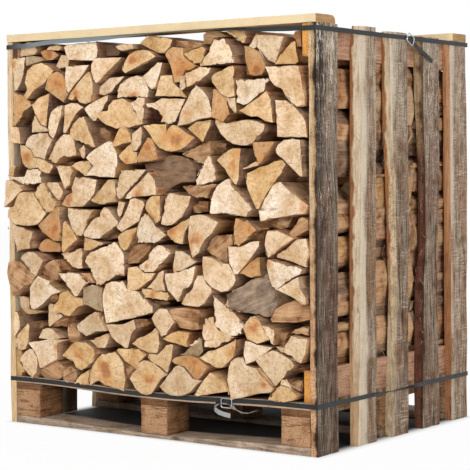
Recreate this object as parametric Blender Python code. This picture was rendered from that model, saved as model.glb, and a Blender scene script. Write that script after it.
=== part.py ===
"""A crate of split firewood on a block pallet, between slatted sides, tied with two plastic bands.

X runs along the front, Y from the front to the back, Z up. The origin is at the middle of the
crate on the floor. Everything is in metres.
"""

import math

import bmesh
import bpy
from mathutils import Vector

MM = 0.001
TOUCH_GAP = 0.3 * MM  # left between pieces that rest on each other

# Driving dimensions of the pallet
PALLET_LENGTH = 1.010
PALLET_DEPTH = 0.800
SKID_WIDTH = 0.096
SKID_THICK = 0.020
BLOCK_LENGTH = 0.090
BLOCK_DEPTH = 0.100
BLOCK_HEIGHT = 0.078
STRINGER_THICK = 0.017
DECK_BOARD_WIDTH = 0.100
DECK_BOARD_THICK = 0.018
DECK_BOARD_COUNT = 5
PALLET_SAG = 0.009  # how far the middle of the loaded pallet is pressed down

# Driving dimensions of the sides and rails
SLAT_THICK = 0.021
SIDE_RAIL_THICK = 0.020
SIDE_RAIL_HEIGHT = 0.082
SIDE_RAIL_DROP = 0.006  # how much lower the top side rails are at the back
TOP_SIDE_RAIL_BASE = 1.006
FRONT_RAIL_WIDTH = 0.091
FRONT_RAIL_THICK = 0.021
FRONT_RAIL_BASE = 1.0903
BACK_RAIL_WIDTH = 0.080
BACK_RAIL_THICK = 0.022
BACK_RAIL_BASE = 1.0833

# Driving dimensions of the bands and their buckles
BAND_WIDTH = 0.012
BAND_THICK = 0.8 * MM
TOP_BAND_HEIGHT = 1.076
BOTTOM_BAND_HEIGHT = 0.1265
BUCKLE_LENGTH = 0.034
BUCKLE_WIDTH = 0.024
BUCKLE_WIRE = 0.003

# Driving dimensions of the firewood
ROW_OVERHANG = 0.038  # how far the front and back splits stick out past the pallet
TOP_COURSE_BASE = 1.046  # the splits above this stay behind the top band
ROW_LIMITS = (-PALLET_DEPTH / 2 - ROW_OVERHANG, -0.135, 0.135, PALLET_DEPTH / 2 + ROW_OVERHANG)

# Heights worked out from the driving dimensions
BLOCK_BASE = SKID_THICK + TOUCH_GAP
STRINGER_BASE = BLOCK_BASE + BLOCK_HEIGHT + TOUCH_GAP
DECK_BASE = STRINGER_BASE + STRINGER_THICK + TOUCH_GAP
DECK_TOP = DECK_BASE + DECK_BOARD_THICK
LOAD_BASE = DECK_TOP + TOUCH_GAP
BLOCK_X = (PALLET_LENGTH - BLOCK_LENGTH) / 2
SLAT_INNER_X = PALLET_LENGTH / 2 + TOUCH_GAP
SLAT_OUTER_X = SLAT_INNER_X + SLAT_THICK
SIDE_RAIL_INNER_X = PALLET_LENGTH / 2 - SIDE_RAIL_THICK


def sag(x):
    """How far the loaded pallet is pressed down at x: nothing over the end blocks, most over the middle one."""
    flat = BLOCK_LENGTH / 2
    share = (abs(x) - flat) / (BLOCK_X - 2 * flat)
    share = min(max(share, 0.0), 1.0)
    return PALLET_SAG * 0.5 * (1 + math.cos(math.pi * share))


def sag_stations():
    """The places along X where a board that follows the sag bends."""
    flat = BLOCK_LENGTH / 2
    steps = 4
    one_side = [flat + (BLOCK_X - 2 * flat) * k / steps for k in range(steps + 1)]
    return [-x for x in reversed(one_side)] + one_side


def make_material(name, colour, roughness, metallic=0.0):
    material = bpy.data.materials.new(name)
    material.use_nodes = True
    shader = material.node_tree.nodes["Principled BSDF"]
    shader.inputs["Base Color"].default_value = (*colour, 1.0)
    shader.inputs["Roughness"].default_value = roughness
    shader.inputs["Metallic"].default_value = metallic
    return material


def add_object(name, mesh_builder, material):
    """Turns a bmesh into a named object with its normals pointing out."""
    bmesh.ops.recalc_face_normals(mesh_builder, faces=mesh_builder.faces)
    mesh = bpy.data.meshes.new(name)
    mesh_builder.to_mesh(mesh)
    mesh_builder.free()
    mesh.materials.append(material)
    piece = bpy.data.objects.new(name, mesh)
    bpy.context.scene.collection.objects.link(piece)
    return piece


def box_between(low, high):
    """A bmesh box from its lowest to its highest corner."""
    mesh_builder = bmesh.new()
    bmesh.ops.create_cube(mesh_builder, size=1.0)
    low, high = Vector(low), Vector(high)
    bmesh.ops.scale(mesh_builder, vec=high - low, verts=mesh_builder.verts)
    bmesh.ops.translate(mesh_builder, vec=(low + high) / 2, verts=mesh_builder.verts)
    return mesh_builder


def ease_edges(mesh_builder, width):
    """Takes the sharp arris off every edge of a sawn piece."""
    bmesh.ops.bevel(
        mesh_builder, geom=list(mesh_builder.edges), offset=width, offset_type="OFFSET",
        affect="EDGES", segments=1, profile=0.5, material=-1,
    )


def cut_across(mesh_builder, places):
    """Adds a loop of edges across the piece at each x in places."""
    for x in places:
        bmesh.ops.bisect_plane(
            mesh_builder, geom=list(mesh_builder.verts) + list(mesh_builder.edges) + list(mesh_builder.faces),
            plane_co=(x, 0, 0), plane_no=(1, 0, 0),
        )


# ---- Pallet: skids, blocks, stringers and deck boards, all sawn softwood ----

def pressed_board(name, low, high, material, flat_base):
    """A board along X that follows the pallet's sag. A skid keeps its underside flat on the floor."""
    board = box_between(low, high)
    ease_edges(board, 1.2 * MM)
    cut_across(board, sag_stations())
    middle = (low[2] + high[2]) / 2
    for vertex in board.verts:
        if flat_base and vertex.co.z < middle:
            continue
        vertex.co.z -= sag(vertex.co.x)
    return add_object(name, board, material)


def build_pallet(wood, old_wood):
    rows = {"front": -1, "middle": 0, "back": 1}
    columns = {"left": -1, "centre": 0, "right": 1}
    skid_y = (PALLET_DEPTH - SKID_WIDTH) / 2
    block_y = (PALLET_DEPTH - BLOCK_DEPTH) / 2
    half = PALLET_LENGTH / 2
    for row, side in rows.items():
        middle = side * skid_y
        pressed_board(
            f"skid_{row}", (-half, middle - SKID_WIDTH / 2, 0),
            (half, middle + SKID_WIDTH / 2, SKID_THICK), old_wood, flat_base=True,
        )
        for column, end in columns.items():
            centre = Vector((end * BLOCK_X, side * block_y, BLOCK_BASE + BLOCK_HEIGHT / 2 - sag(end * BLOCK_X)))
            size = Vector((BLOCK_LENGTH, BLOCK_DEPTH, BLOCK_HEIGHT)) / 2
            block = box_between(centre - size, centre + size)
            ease_edges(block, 2 * MM)
            add_object(f"block_{row}_{column}", block, wood)
    for column, end in columns.items():
        x = end * BLOCK_X
        base = STRINGER_BASE - sag(x)
        stringer = box_between(
            (x - BLOCK_LENGTH / 2, -PALLET_DEPTH / 2, base),
            (x + BLOCK_LENGTH / 2, PALLET_DEPTH / 2, base + STRINGER_THICK),
        )
        ease_edges(stringer, 1.2 * MM)
        add_object(f"stringer_{column}", stringer, wood)
    pitch = (PALLET_DEPTH - DECK_BOARD_WIDTH) / (DECK_BOARD_COUNT - 1)
    for number in range(DECK_BOARD_COUNT):
        front = -PALLET_DEPTH / 2 + number * pitch
        pressed_board(
            f"deck_board_{number + 1}", (-half, front, DECK_BASE),
            (half, front + DECK_BOARD_WIDTH, DECK_TOP), old_wood, flat_base=False,
        )


# ---- Sides: upright slats with waney edges, and the rails between them ----

def slat(name, side, top, outline, material):
    """An upright slat. Each entry of outline is, in millimetres, a height, the front edge, how far
    the rounded bark edge cuts back the outer face there, and the back edge."""
    mesh_builder = bmesh.new()
    ring = []
    for height, front, wane, back in outline:
        z = min(height * MM, top)
        inner, outer = side * SLAT_INNER_X, side * SLAT_OUTER_X
        middle = (inner + outer) / 2
        corners = [
            (inner, front * MM, z), (middle, (front + 0.3 * wane) * MM, z),
            (outer, (front + max(wane, 1.5)) * MM, z), (outer, (back - 1.5) * MM, z), (inner, back * MM, z),
        ]
        next_ring = [mesh_builder.verts.new(corner) for corner in corners]
        for k in range(len(corners)):
            after = (k + 1) % len(corners)
            if ring:
                mesh_builder.faces.new((ring[k], ring[after], next_ring[after], next_ring[k]))
        if not ring:
            mesh_builder.faces.new(next_ring)
        ring = next_ring
    mesh_builder.faces.new(ring)
    return add_object(name, mesh_builder, material)


def build_sides(wood, old_wood, new_wood):
    right_slats = [
        (1.0900, [(0, -400, 0, -300), (500, -400, 0, -303), (1090, -400, 0, -297)]),
        (1.0940, [(0, -211, 5, -111), (450, -212, 24, -112), (900, -207, 22, -110), (1040, -208, 6, -110),
                  (1094, -196, 4, -110)]),
        (1.0880, [(0, -33, 2, 56), (170, -26, 22, 58), (400, -13, 13, 56), (560, -24, 16, 62), (700, -31, 21, 62),
                  (820, -44, 12, 58), (1088, -46, 6, 54)]),
        (1.0850, [(0, 128, 8, 234), (250, 126, 16, 230), (400, 130, 12, 220), (480, 150, 4, 226),
                  (740, 148, 4, 234), (900, 130, 12, 234), (1085, 124, 16, 230)]),
        (1.0830, [(0, 302, 2, 399), (600, 297, 3, 399), (900, 294, 3, 396), (1083, 290, 4, 387)]),
    ]
    left_slats = [
        (1.0900, [(0, -400, 0, -302), (600, -400, 0, -299), (1090, -400, 0, -301)]),
        (1.0910, [(0, -236, 4, -136), (500, -232, 14, -134), (1091, -238, 6, -136)]),
        (1.0880, [(0, -50, 5, 51), (350, -44, 18, 52), (700, -52, 6, 50), (1088, -47, 10, 48)]),
        (1.0860, [(0, 122, 10, 226), (540, 131, 20, 228), (1086, 120, 6, 222)]),
        (1.0830, [(0, 297, 3, 398), (700, 300, 8, 396), (1083, 292, 4, 392)]),
    ]
    for side_name, side, slats in (("right", 1, right_slats), ("left", -1, left_slats)):
        for number, (top, outline) in enumerate(slats, start=1):
            slat(f"slat_{side_name}_{number}", side, top, outline, old_wood)
        inner, outer = side * SIDE_RAIL_INNER_X, side * PALLET_LENGTH / 2
        low_x, high_x = min(inner, outer), max(inner, outer)
        for level, base, drop in (("bottom", LOAD_BASE, 0.0), ("top", TOP_SIDE_RAIL_BASE, SIDE_RAIL_DROP)):
            rail = box_between(
                (low_x, -PALLET_DEPTH / 2 + 2 * MM, base),
                (high_x, PALLET_DEPTH / 2 - 2 * MM, base + SIDE_RAIL_HEIGHT),
            )
            ease_edges(rail, 1.0 * MM)
            for vertex in rail.verts:
                if vertex.co.y > 0:
                    vertex.co.z -= drop
            add_object(f"side_rail_{side_name}_{level}", rail, wood)
    half = SLAT_OUTER_X
    front = -PALLET_DEPTH / 2
    front_rail = box_between(
        (-half, front, FRONT_RAIL_BASE), (half, front + FRONT_RAIL_WIDTH, FRONT_RAIL_BASE + FRONT_RAIL_THICK),
    )
    # the back upper edge is the round of the log: it is cut away in a broad wane
    waney = [
        edge for edge in front_rail.edges
        if all(v.co.y > front + 1 * MM and v.co.z > FRONT_RAIL_BASE + 1 * MM for v in edge.verts)
    ]
    bmesh.ops.bevel(
        front_rail, geom=waney, offset=14 * MM, offset_type="OFFSET", affect="EDGES",
        segments=3, profile=0.5, material=-1,
    )
    add_object("top_rail_front", front_rail, new_wood)
    back = PALLET_DEPTH / 2 - 8 * MM
    back_rail = box_between(
        (-half, back - BACK_RAIL_WIDTH, BACK_RAIL_BASE), (half, back, BACK_RAIL_BASE + BACK_RAIL_THICK),
    )
    ease_edges(back_rail, 1.0 * MM)
    add_object("top_rail_back", back_rail, new_wood)


# ---- Bands: flat plastic, pulled tight round the crate, each closed by a wire buckle ----

RIGHT, FRONT, LEFT, BACK = Vector((1, 0)), Vector((0, -1)), Vector((-1, 0)), Vector((0, 1))
BAND_FACE_X = SLAT_OUTER_X + TOUCH_GAP + BAND_THICK / 2
BAND_FACE_Y = PALLET_DEPTH / 2 + TOUCH_GAP + BAND_THICK / 2
BAND_LAYER = BAND_THICK + TOUCH_GAP  # from one layer of a doubled band to the next
BAND_TURN = 1.0 * MM


def band(name, points, material):
    """A flat band. Each point is its place and the direction of its width."""
    mesh_builder = bmesh.new()
    last = None
    for place, across in points:
        place = Vector(place)
        across = Vector(across).normalized() * BAND_WIDTH / 2
        pair = (mesh_builder.verts.new(place - across), mesh_builder.verts.new(place + across))
        if last:
            mesh_builder.faces.new((last[0], pair[0], pair[1], last[1]))
        last = pair
    mesh = bpy.data.meshes.new(name)
    mesh_builder.to_mesh(mesh)
    mesh_builder.free()
    mesh.materials.append(material)
    piece = bpy.data.objects.new(name, mesh)
    bpy.context.scene.collection.objects.link(piece)
    thickness = piece.modifiers.new("thickness", "SOLIDIFY")
    thickness.thickness = BAND_THICK
    thickness.offset = 0.0
    return piece


def plan_round_crate(start, sides, end, step):
    """Plan points of a band from start, round the corners between the named sides, to end."""
    corner_points = [Vector(start)]
    for before, after in zip(sides, sides[1:]):
        sign = before + after
        middle = Vector((sign.x * (BAND_FACE_X - BAND_TURN), sign.y * (BAND_FACE_Y - BAND_TURN)))
        for k in range(4):
            angle = math.radians(30 * k)
            corner_points.append(middle + BAND_TURN * (math.cos(angle) * before + math.sin(angle) * after))
    corner_points.append(Vector(end))
    path = [corner_points[0]]
    for point in corner_points[1:]:
        gap = (point - path[-1]).length
        parts = max(1, round(gap / step))
        first = path[-1].copy()
        path += [first.lerp(point, k / parts) for k in range(1, parts + 1)]
    return path


def top_band(plastic):
    """Starts at the loose end that hangs from the buckle on the right side, lies over its other end
    at the buckle, goes round by the front, the left and the back, and ends under the buckle."""
    outer_x = BAND_FACE_X + BAND_LAYER
    slope = Vector((0, 0.115, -0.053)).normalized()
    slope_across = (0, -slope.z, slope.y)
    knee = Vector((outer_x, 0.066, TOP_BAND_HEIGHT - 4 * MM))
    lifts = ((128 * MM, 5 * MM), (95 * MM, 4 * MM), (60 * MM, 1 * MM), (24 * MM, 0), (8 * MM, 0))
    points = [(knee + slope * along + Vector((lift, 0, 0)), slope_across) for along, lift in lifts]
    points.append(((outer_x, 0.062, TOP_BAND_HEIGHT - 1 * MM), (0, 0.15, 1)))
    points.append(((outer_x, 0.048, TOP_BAND_HEIGHT), (0, 0, 1)))
    plan = plan_round_crate(
        (BAND_FACE_X, 0.030), (RIGHT, FRONT, LEFT, BACK, RIGHT), (BAND_FACE_X, 0.054), 0.2,
    )
    points += [((x, y, TOP_BAND_HEIGHT), (0, 0, 1)) for x, y in plan]
    band("strap_top", points, plastic)


def bottom_band(plastic):
    """Starts at the loose end that curls away from the buckle on the front, goes round by the right
    side, where it has one twist, the back and the left, and ends in a short loop under the buckle."""
    outer_y = -BAND_FACE_Y - BAND_LAYER
    inner_y = -BAND_FACE_Y
    upright = (0, 0, 1)

    def height(x):
        return BOTTOM_BAND_HEIGHT - sag(x)

    points = [
        ((0.283, -0.4375, 0.090), (0.0, 0.1, 1)),
        ((0.264, -0.4375, 0.092), (0.0, 0.1, 1)),
        ((0.244, -0.4355, 0.096), (0.1, 0.1, 1)),
        ((0.228, -0.4290, 0.101), (0.2, 0.0, 1)),
        ((0.219, -0.4190, 0.107), (0.2, 0.0, 1)),
        ((0.218, -0.4100, 0.112), (0.1, 0.0, 1)),
        ((0.222, outer_y - 1.5 * MM, 0.116), (0.1, 0.0, 1)),
        ((0.229, outer_y, height(0.229) - 1 * MM), upright),
        ((0.266, outer_y, height(0.266)), upright),
    ]
    turned_back = 0
    first, last = -0.14, 0.15
    for x, y in plan_round_crate(
        (0.284, inner_y), (FRONT, RIGHT, BACK, LEFT, FRONT), (0.236, inner_y), 0.02,
    ):
        angle = 180.0 * turned_back
        if x > SLAT_OUTER_X and abs(y) < BAND_FACE_Y - BAND_TURN:
            share = min(max((y - first) / (last - first), 0.0), 1.0)
            angle = 180.0 * (0.5 + 0.5 * math.copysign(abs(2 * share - 1) ** 1.6, 2 * share - 1))
            turned_back = share == 1.0
        across = Vector((math.sin(math.radians(angle)), 0, math.cos(math.radians(angle))))
        stand_out = abs(across.x) * (BAND_WIDTH - BAND_THICK) / 2
        points.append(((x + stand_out, y, height(x)), across))
    points += [
        ((0.252, inner_y, height(0.25) - 4 * MM), (0, 0, -1)),
        ((0.263, inner_y, 0.1075), (-0.2, 0, -1)),
        ((0.277, inner_y - 0.5 * MM, 0.1000), (-0.2, 1, -0.4)),
        ((0.298, inner_y - 5 * MM, 0.0950), (0, 1, 0)),
        ((0.322, inner_y - 9 * MM, 0.0965), (0, 1, 0)),
        ((0.346, inner_y - 10 * MM, 0.1045), (0, 1, 0)),
    ]
    band("strap_bottom", points, plastic)


def buckle(name, centre, long_axis, short_axis, material):
    """A flat oblong ring of wire over the doubled band."""
    centre, long_axis, short_axis = Vector(centre), Vector(long_axis), Vector(short_axis)
    curve = bpy.data.curves.new(name, "CURVE")
    curve.dimensions = "3D"
    curve.bevel_depth = BUCKLE_WIRE / 2
    curve.bevel_resolution = 2
    corner = 5 * MM
    outline = []
    for k, (a, b) in enumerate(((1, 1), (-1, 1), (-1, -1), (1, -1))):
        for step in range(4):
            angle = math.radians(90 * k + 30 * step)
            outline.append((
                a * (BUCKLE_LENGTH / 2 - corner) + corner * math.cos(angle),
                b * (BUCKLE_WIDTH / 2 - corner) + corner * math.sin(angle),
            ))
    spline = curve.splines.new("POLY")
    spline.points.add(len(outline) - 1)
    for point, (u, v) in zip(spline.points, outline):
        point.co = (*(centre + long_axis * u + short_axis * v), 1.0)
    spline.use_cyclic_u = True
    curve.materials.append(material)
    piece = bpy.data.objects.new(name, curve)
    bpy.context.scene.collection.objects.link(piece)


def build_bands(plastic, steel):
    top_band(plastic)
    bottom_band(plastic)
    proud = BAND_LAYER + BAND_THICK / 2 + TOUCH_GAP + BUCKLE_WIRE / 2
    slope = Vector((0, 0.115, -0.053)).normalized()
    buckle(
        "buckle_top", (BAND_FACE_X + proud, 0.066, TOP_BAND_HEIGHT - 3 * MM),
        slope, (0, -slope.z, slope.y), steel,
    )
    x = 0.2465
    buckle(
        "buckle_bottom", (x, -BAND_FACE_Y - proud, BOTTOM_BAND_HEIGHT - sag(x) - 7 * MM),
        (1, 0, 0), (0, 0, 1), steel,
    )


# ---- Firewood: three rows of splits, each row one solid out to the splits' tips ----

def firewood_row(name, front, back, top_heights, material):
    """A row as a block whose underside follows the pallet's sag and whose top follows the splits.
    top_heights are in millimetres, evenly spaced from the left to the right."""
    rail_x = SIDE_RAIL_INNER_X - TOUCH_GAP
    slat_x = SLAT_INNER_X - TOUCH_GAP
    low_ledge = LOAD_BASE + SIDE_RAIL_HEIGHT + TOUCH_GAP
    high_ledge = TOP_SIDE_RAIL_BASE - SIDE_RAIL_DROP - TOUCH_GAP
    outline = [(x, LOAD_BASE - sag(x)) for x in [-rail_x, *sag_stations(), rail_x]]
    outline += [(rail_x, low_ledge), (slat_x, low_ledge), (slat_x, high_ledge), (rail_x, high_ledge)]
    last = len(top_heights) - 1
    outline += [(rail_x * (1 - 2 * k / last), top_heights[last - k] * MM) for k in range(last + 1)]
    outline += [(-rail_x, high_ledge), (-slat_x, high_ledge), (-slat_x, low_ledge), (-rail_x, low_ledge)]
    mesh_builder = bmesh.new()
    face = mesh_builder.faces.new([mesh_builder.verts.new((x, front, z)) for x, z in outline])
    pushed = bmesh.ops.extrude_face_region(mesh_builder, geom=[face])
    moved = [item for item in pushed["geom"] if isinstance(item, bmesh.types.BMVert)]
    bmesh.ops.translate(mesh_builder, vec=(0, back - front, 0), verts=moved)
    return add_object(name, mesh_builder, material)


def keep_behind_band(row, side):
    """Cuts the topmost course of an outer row back behind the top band and under the top rail."""
    near = side * (PALLET_DEPTH / 2 - 3 * MM)
    far = side * (PALLET_DEPTH / 2 + ROW_OVERHANG + 20 * MM)
    room = box_between((-0.6, min(near, far), TOP_COURSE_BASE), (0.6, max(near, far), 1.2))
    cutter = add_object(f"cutter_{row.name}", room, row.data.materials[0])
    cutter.hide_render = True
    cutter.display_type = "WIRE"
    cut = row.modifiers.new("top course", "BOOLEAN")
    cut.operation = "DIFFERENCE"
    cut.object = cutter


def build_firewood(split_wood):
    gap = TOUCH_GAP / 2
    front_tops = (1050, 1078, 1084, 1072, 1080, 1082, 1066, 1080, 1074, 1064, 1084, 1078, 1070, 1060)
    middle_tops = (1058, 1066, 1078, 1084, 1070, 1062, 1074, 1082, 1086, 1072, 1060, 1076, 1082, 1064)
    back_tops = (1062, 1076, 1070, 1058, 1072, 1080, 1078, 1064, 1060, 1074, 1080, 1068, 1072, 1056)
    rows = {}
    for name, low, high, tops in zip(
        ("front", "middle", "back"), ROW_LIMITS, ROW_LIMITS[1:], (front_tops, middle_tops, back_tops),
    ):
        rows[name] = firewood_row(f"firewood_row_{name}", low + gap, high - gap, tops, split_wood)
    keep_behind_band(rows["front"], -1)
    keep_behind_band(rows["back"], 1)


def main():
    for old in list(bpy.data.objects):
        bpy.data.objects.remove(old, do_unlink=True)
    wood = make_material("sawn softwood", (0.45, 0.26, 0.13), 0.75)
    old_wood = make_material("weathered sawn softwood", (0.28, 0.2, 0.14), 0.85)
    new_wood = make_material("fresh sawn softwood", (0.83, 0.64, 0.36), 0.7)
    plastic = make_material("dark polypropylene", (0.05, 0.065, 0.07), 0.4)
    steel = make_material("zinc-plated steel wire", (0.6, 0.62, 0.65), 0.35, metallic=1.0)
    split_wood = make_material("split hardwood", (0.74, 0.53, 0.33), 0.8)
    build_pallet(wood, old_wood)
    build_sides(wood, old_wood, new_wood)
    build_bands(plastic, steel)
    build_firewood(split_wood)


main()
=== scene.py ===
import math
import random

import bmesh
import bpy
from mathutils import Matrix, Vector, noise


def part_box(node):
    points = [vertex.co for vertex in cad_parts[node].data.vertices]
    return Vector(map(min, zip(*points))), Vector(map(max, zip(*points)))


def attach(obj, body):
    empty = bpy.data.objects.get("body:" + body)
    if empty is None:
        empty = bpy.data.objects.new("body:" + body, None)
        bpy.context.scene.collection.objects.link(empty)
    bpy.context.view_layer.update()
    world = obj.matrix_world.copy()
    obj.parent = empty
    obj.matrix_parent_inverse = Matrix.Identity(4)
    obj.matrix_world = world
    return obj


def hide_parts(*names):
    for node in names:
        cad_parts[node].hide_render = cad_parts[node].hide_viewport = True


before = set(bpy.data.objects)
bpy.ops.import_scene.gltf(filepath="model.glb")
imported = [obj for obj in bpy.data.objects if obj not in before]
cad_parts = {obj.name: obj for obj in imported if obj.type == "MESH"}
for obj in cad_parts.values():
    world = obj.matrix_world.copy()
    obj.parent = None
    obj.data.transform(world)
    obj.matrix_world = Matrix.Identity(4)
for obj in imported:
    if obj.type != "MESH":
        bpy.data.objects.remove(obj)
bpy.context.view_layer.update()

# ---- Camera --------------------------------------------------------------------------------------
# A long lens, a little above the middle of the load, looks at the front and the right side.

camera_place = Vector((2.736, -3.805, 0.736))
camera_turn, camera_dip, camera_roll = (math.radians(angle) for angle in (35.86, 2.47, -0.40))

camera_data = bpy.data.cameras.new("camera")
camera_data.lens = 124.54
camera_data.sensor_width = 36.0
camera = bpy.data.objects.new("camera", camera_data)
camera.matrix_world = (
    Matrix.Translation(camera_place)
    @ Matrix.Rotation(camera_turn, 4, "Z")
    @ Matrix.Rotation(math.pi / 2 - camera_dip, 4, "X")
    @ Matrix.Rotation(camera_roll, 4, "Z")
)
bpy.context.scene.collection.objects.link(camera)
bpy.context.scene.camera = camera

# ---- Firewood: the front row ---------------------------------------------------------------------
# Kiln-dried hardwood, sawn to about 30 cm and split with a wedge. The splits lie crosswise, one on
# another, and nothing holds them but the crate. Their sawn ends make the front face.

MM = 0.001
# the plane of the pallet's front, the inside of the slats, and the side rails inside them, which reach
# almost to that plane
FRONT_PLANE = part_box("deck_board_1")[0].y
WALL_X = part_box("slat_right_1")[0].x
RAIL_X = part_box("side_rail_right_bottom")[0].x
LOW_RAIL_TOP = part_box("side_rail_right_bottom")[1].z
HIGH_RAIL_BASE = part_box("side_rail_right_top")[0].z
PAST_RAILS = -FRONT_PLANE - 1 * MM
# the ends that the upper band crosses stay behind it
BAND_WIDTH = 12 * MM
BAND_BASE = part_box("strap_top")[1].z - BAND_WIDTH
BEHIND_BAND = -7 * MM
FLANK_TONES = ("BA9068", "C29B76", "A97E5A", "B49072", "A17A60", "BE9566", "95705A", "8C6A52")
SPLINTER_TONES = ("F0DEC0", "E6C797", "C98F55", "A87448")
# without a seed of its own, the noise that roughens the splits would change from run to run
noise.seed_set(1)


def linear(code):
    """An sRGB hex code as the linear colour that a shader takes."""
    parts = [int(code[k:k + 2], 16) / 255 for k in (0, 2, 4)]
    return [p / 12.92 if p <= 0.04045 else ((p + 0.055) / 1.055) ** 2.4 for p in parts] + [1.0]


def add_node(tree, kind, links=None, **settings):
    """A shader node with its settings. Each listed socket is linked, or set to a value or a hex colour."""
    made = tree.nodes.new("ShaderNode" + kind)
    for name, value in settings.items():
        setattr(made, name, value)
    for socket, value in (links or {}).items():
        if isinstance(value, bpy.types.NodeSocket):
            tree.links.new(value, made.inputs[socket])
        else:
            made.inputs[socket].default_value = linear(value) if isinstance(value, str) else value
    return made


def new_material(name):
    """A material, its node tree, and the object coordinates that its patterns are laid out in."""
    material = bpy.data.materials.new(name)
    material.use_nodes = True
    tree = material.node_tree
    return material, tree, add_node(tree, "TexCoord").outputs["Object"]


def facing(tree, axis):
    """How squarely the surface faces along an axis, from 0 to 1."""
    normal = add_node(tree, "NewGeometry").outputs["True Normal"]
    axes = add_node(tree, "SeparateXYZ", {0: normal}).outputs
    return add_node(tree, "Math", {0: axes[axis]}, operation="ABSOLUTE").outputs[0]


def stained(tree, colour, pattern, start, full, strength, stain, held=None):
    """The colour with a stain over it, from where the pattern passes start to where it reaches full.

    A hex code or a colour socket is mixed in, and a tint of three numbers multiplies the colour. A
    second pattern may hold the stain back.
    """
    share = add_node(tree, "MapRange", {0: pattern, 1: start, 2: full, 3: 0.0, 4: strength}).outputs[0]
    if held is not None:
        share = add_node(tree, "Math", {0: share, 1: held}, operation="MULTIPLY").outputs[0]
    blend = "MIX"
    if isinstance(stain, tuple):
        blend = "MULTIPLY"
        stain = (*stain, 1)
    mix = {0: share, 6: colour, 7: stain}
    return add_node(tree, "Mix", mix, data_type="RGBA", blend_type=blend).outputs[2]


def streaks(tree, place, scales, detail, roughness=0.5):
    """A noise drawn out by its own scale along each axis."""
    drawn = add_node(tree, "Mapping", {"Vector": place, "Scale": scales}).outputs[0]
    grain = {"Vector": drawn, "Scale": 1.0, "Detail": detail, "Roughness": roughness}
    return add_node(tree, "TexNoise", grain).outputs[0]


def finish_surface(tree, colour, roughness, specular, relief, strength, depth):
    """The colour, the sheen and the fine relief on the material's surface."""
    surface = tree.nodes["Principled BSDF"]
    tree.links.new(colour, surface.inputs["Base Color"])
    surface.inputs["Roughness"].default_value = roughness
    surface.inputs["Specular IOR Level"].default_value = specular
    bump = add_node(tree, "Bump", {"Strength": strength, "Distance": depth, "Height": relief})
    tree.links.new(bump.outputs[0], surface.inputs["Normal"])


def add_object(name, builder, *materials):
    """The builder's shape as an object of the scene, with its materials."""
    mesh = bpy.data.meshes.new(name)
    builder.to_mesh(mesh)
    builder.free()
    for material in materials:
        mesh.materials.append(material)
    made = bpy.data.objects.new(name, mesh)
    bpy.context.scene.collection.objects.link(made)
    return made


def merge_into(whole, shape):
    """Adds a finished shape to a larger one."""
    part = bpy.data.meshes.new("part")
    shape.to_mesh(part)
    shape.free()
    whole.from_mesh(part)
    bpy.data.meshes.remove(part)


def add_sliver(builder, spot, aim, length, radius):
    """A three-sided sliver of torn wood that tapers to a point."""
    turn = aim.normalized().to_track_quat("Z", "Y").to_matrix().to_4x4()
    return bmesh.ops.create_cone(
        builder, segments=3, radius1=radius, radius2=0.15 * MM, depth=length, cap_ends=True,
        matrix=Matrix.Translation(spot) @ turn,
    )["verts"]


# How each kind of end looks: its colour, and whether sawn end grain shows or riven side grain.
END_KINDS = {
    "white": ("E1CAAF", "sawn"), "cream": ("DDC1A0", "sawn"), "pale": ("E6CDAE", "sawn"),
    "tan": ("D5BA99", "sawn"), "honey": ("D7B68B", "sawn"), "straw": ("D3AE7D", "sawn"),
    "orange": ("C2976A", "sawn"), "russet": ("B27F58", "sawn"), "grey": ("B09A7C", "sawn"),
    "umber": ("8F7B6A", "riven"), "side": ("BA9068", "riven"), "brown": ("885E3B", "riven"),
    "dark": ("6A4C3A", "bark"),
}

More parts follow.
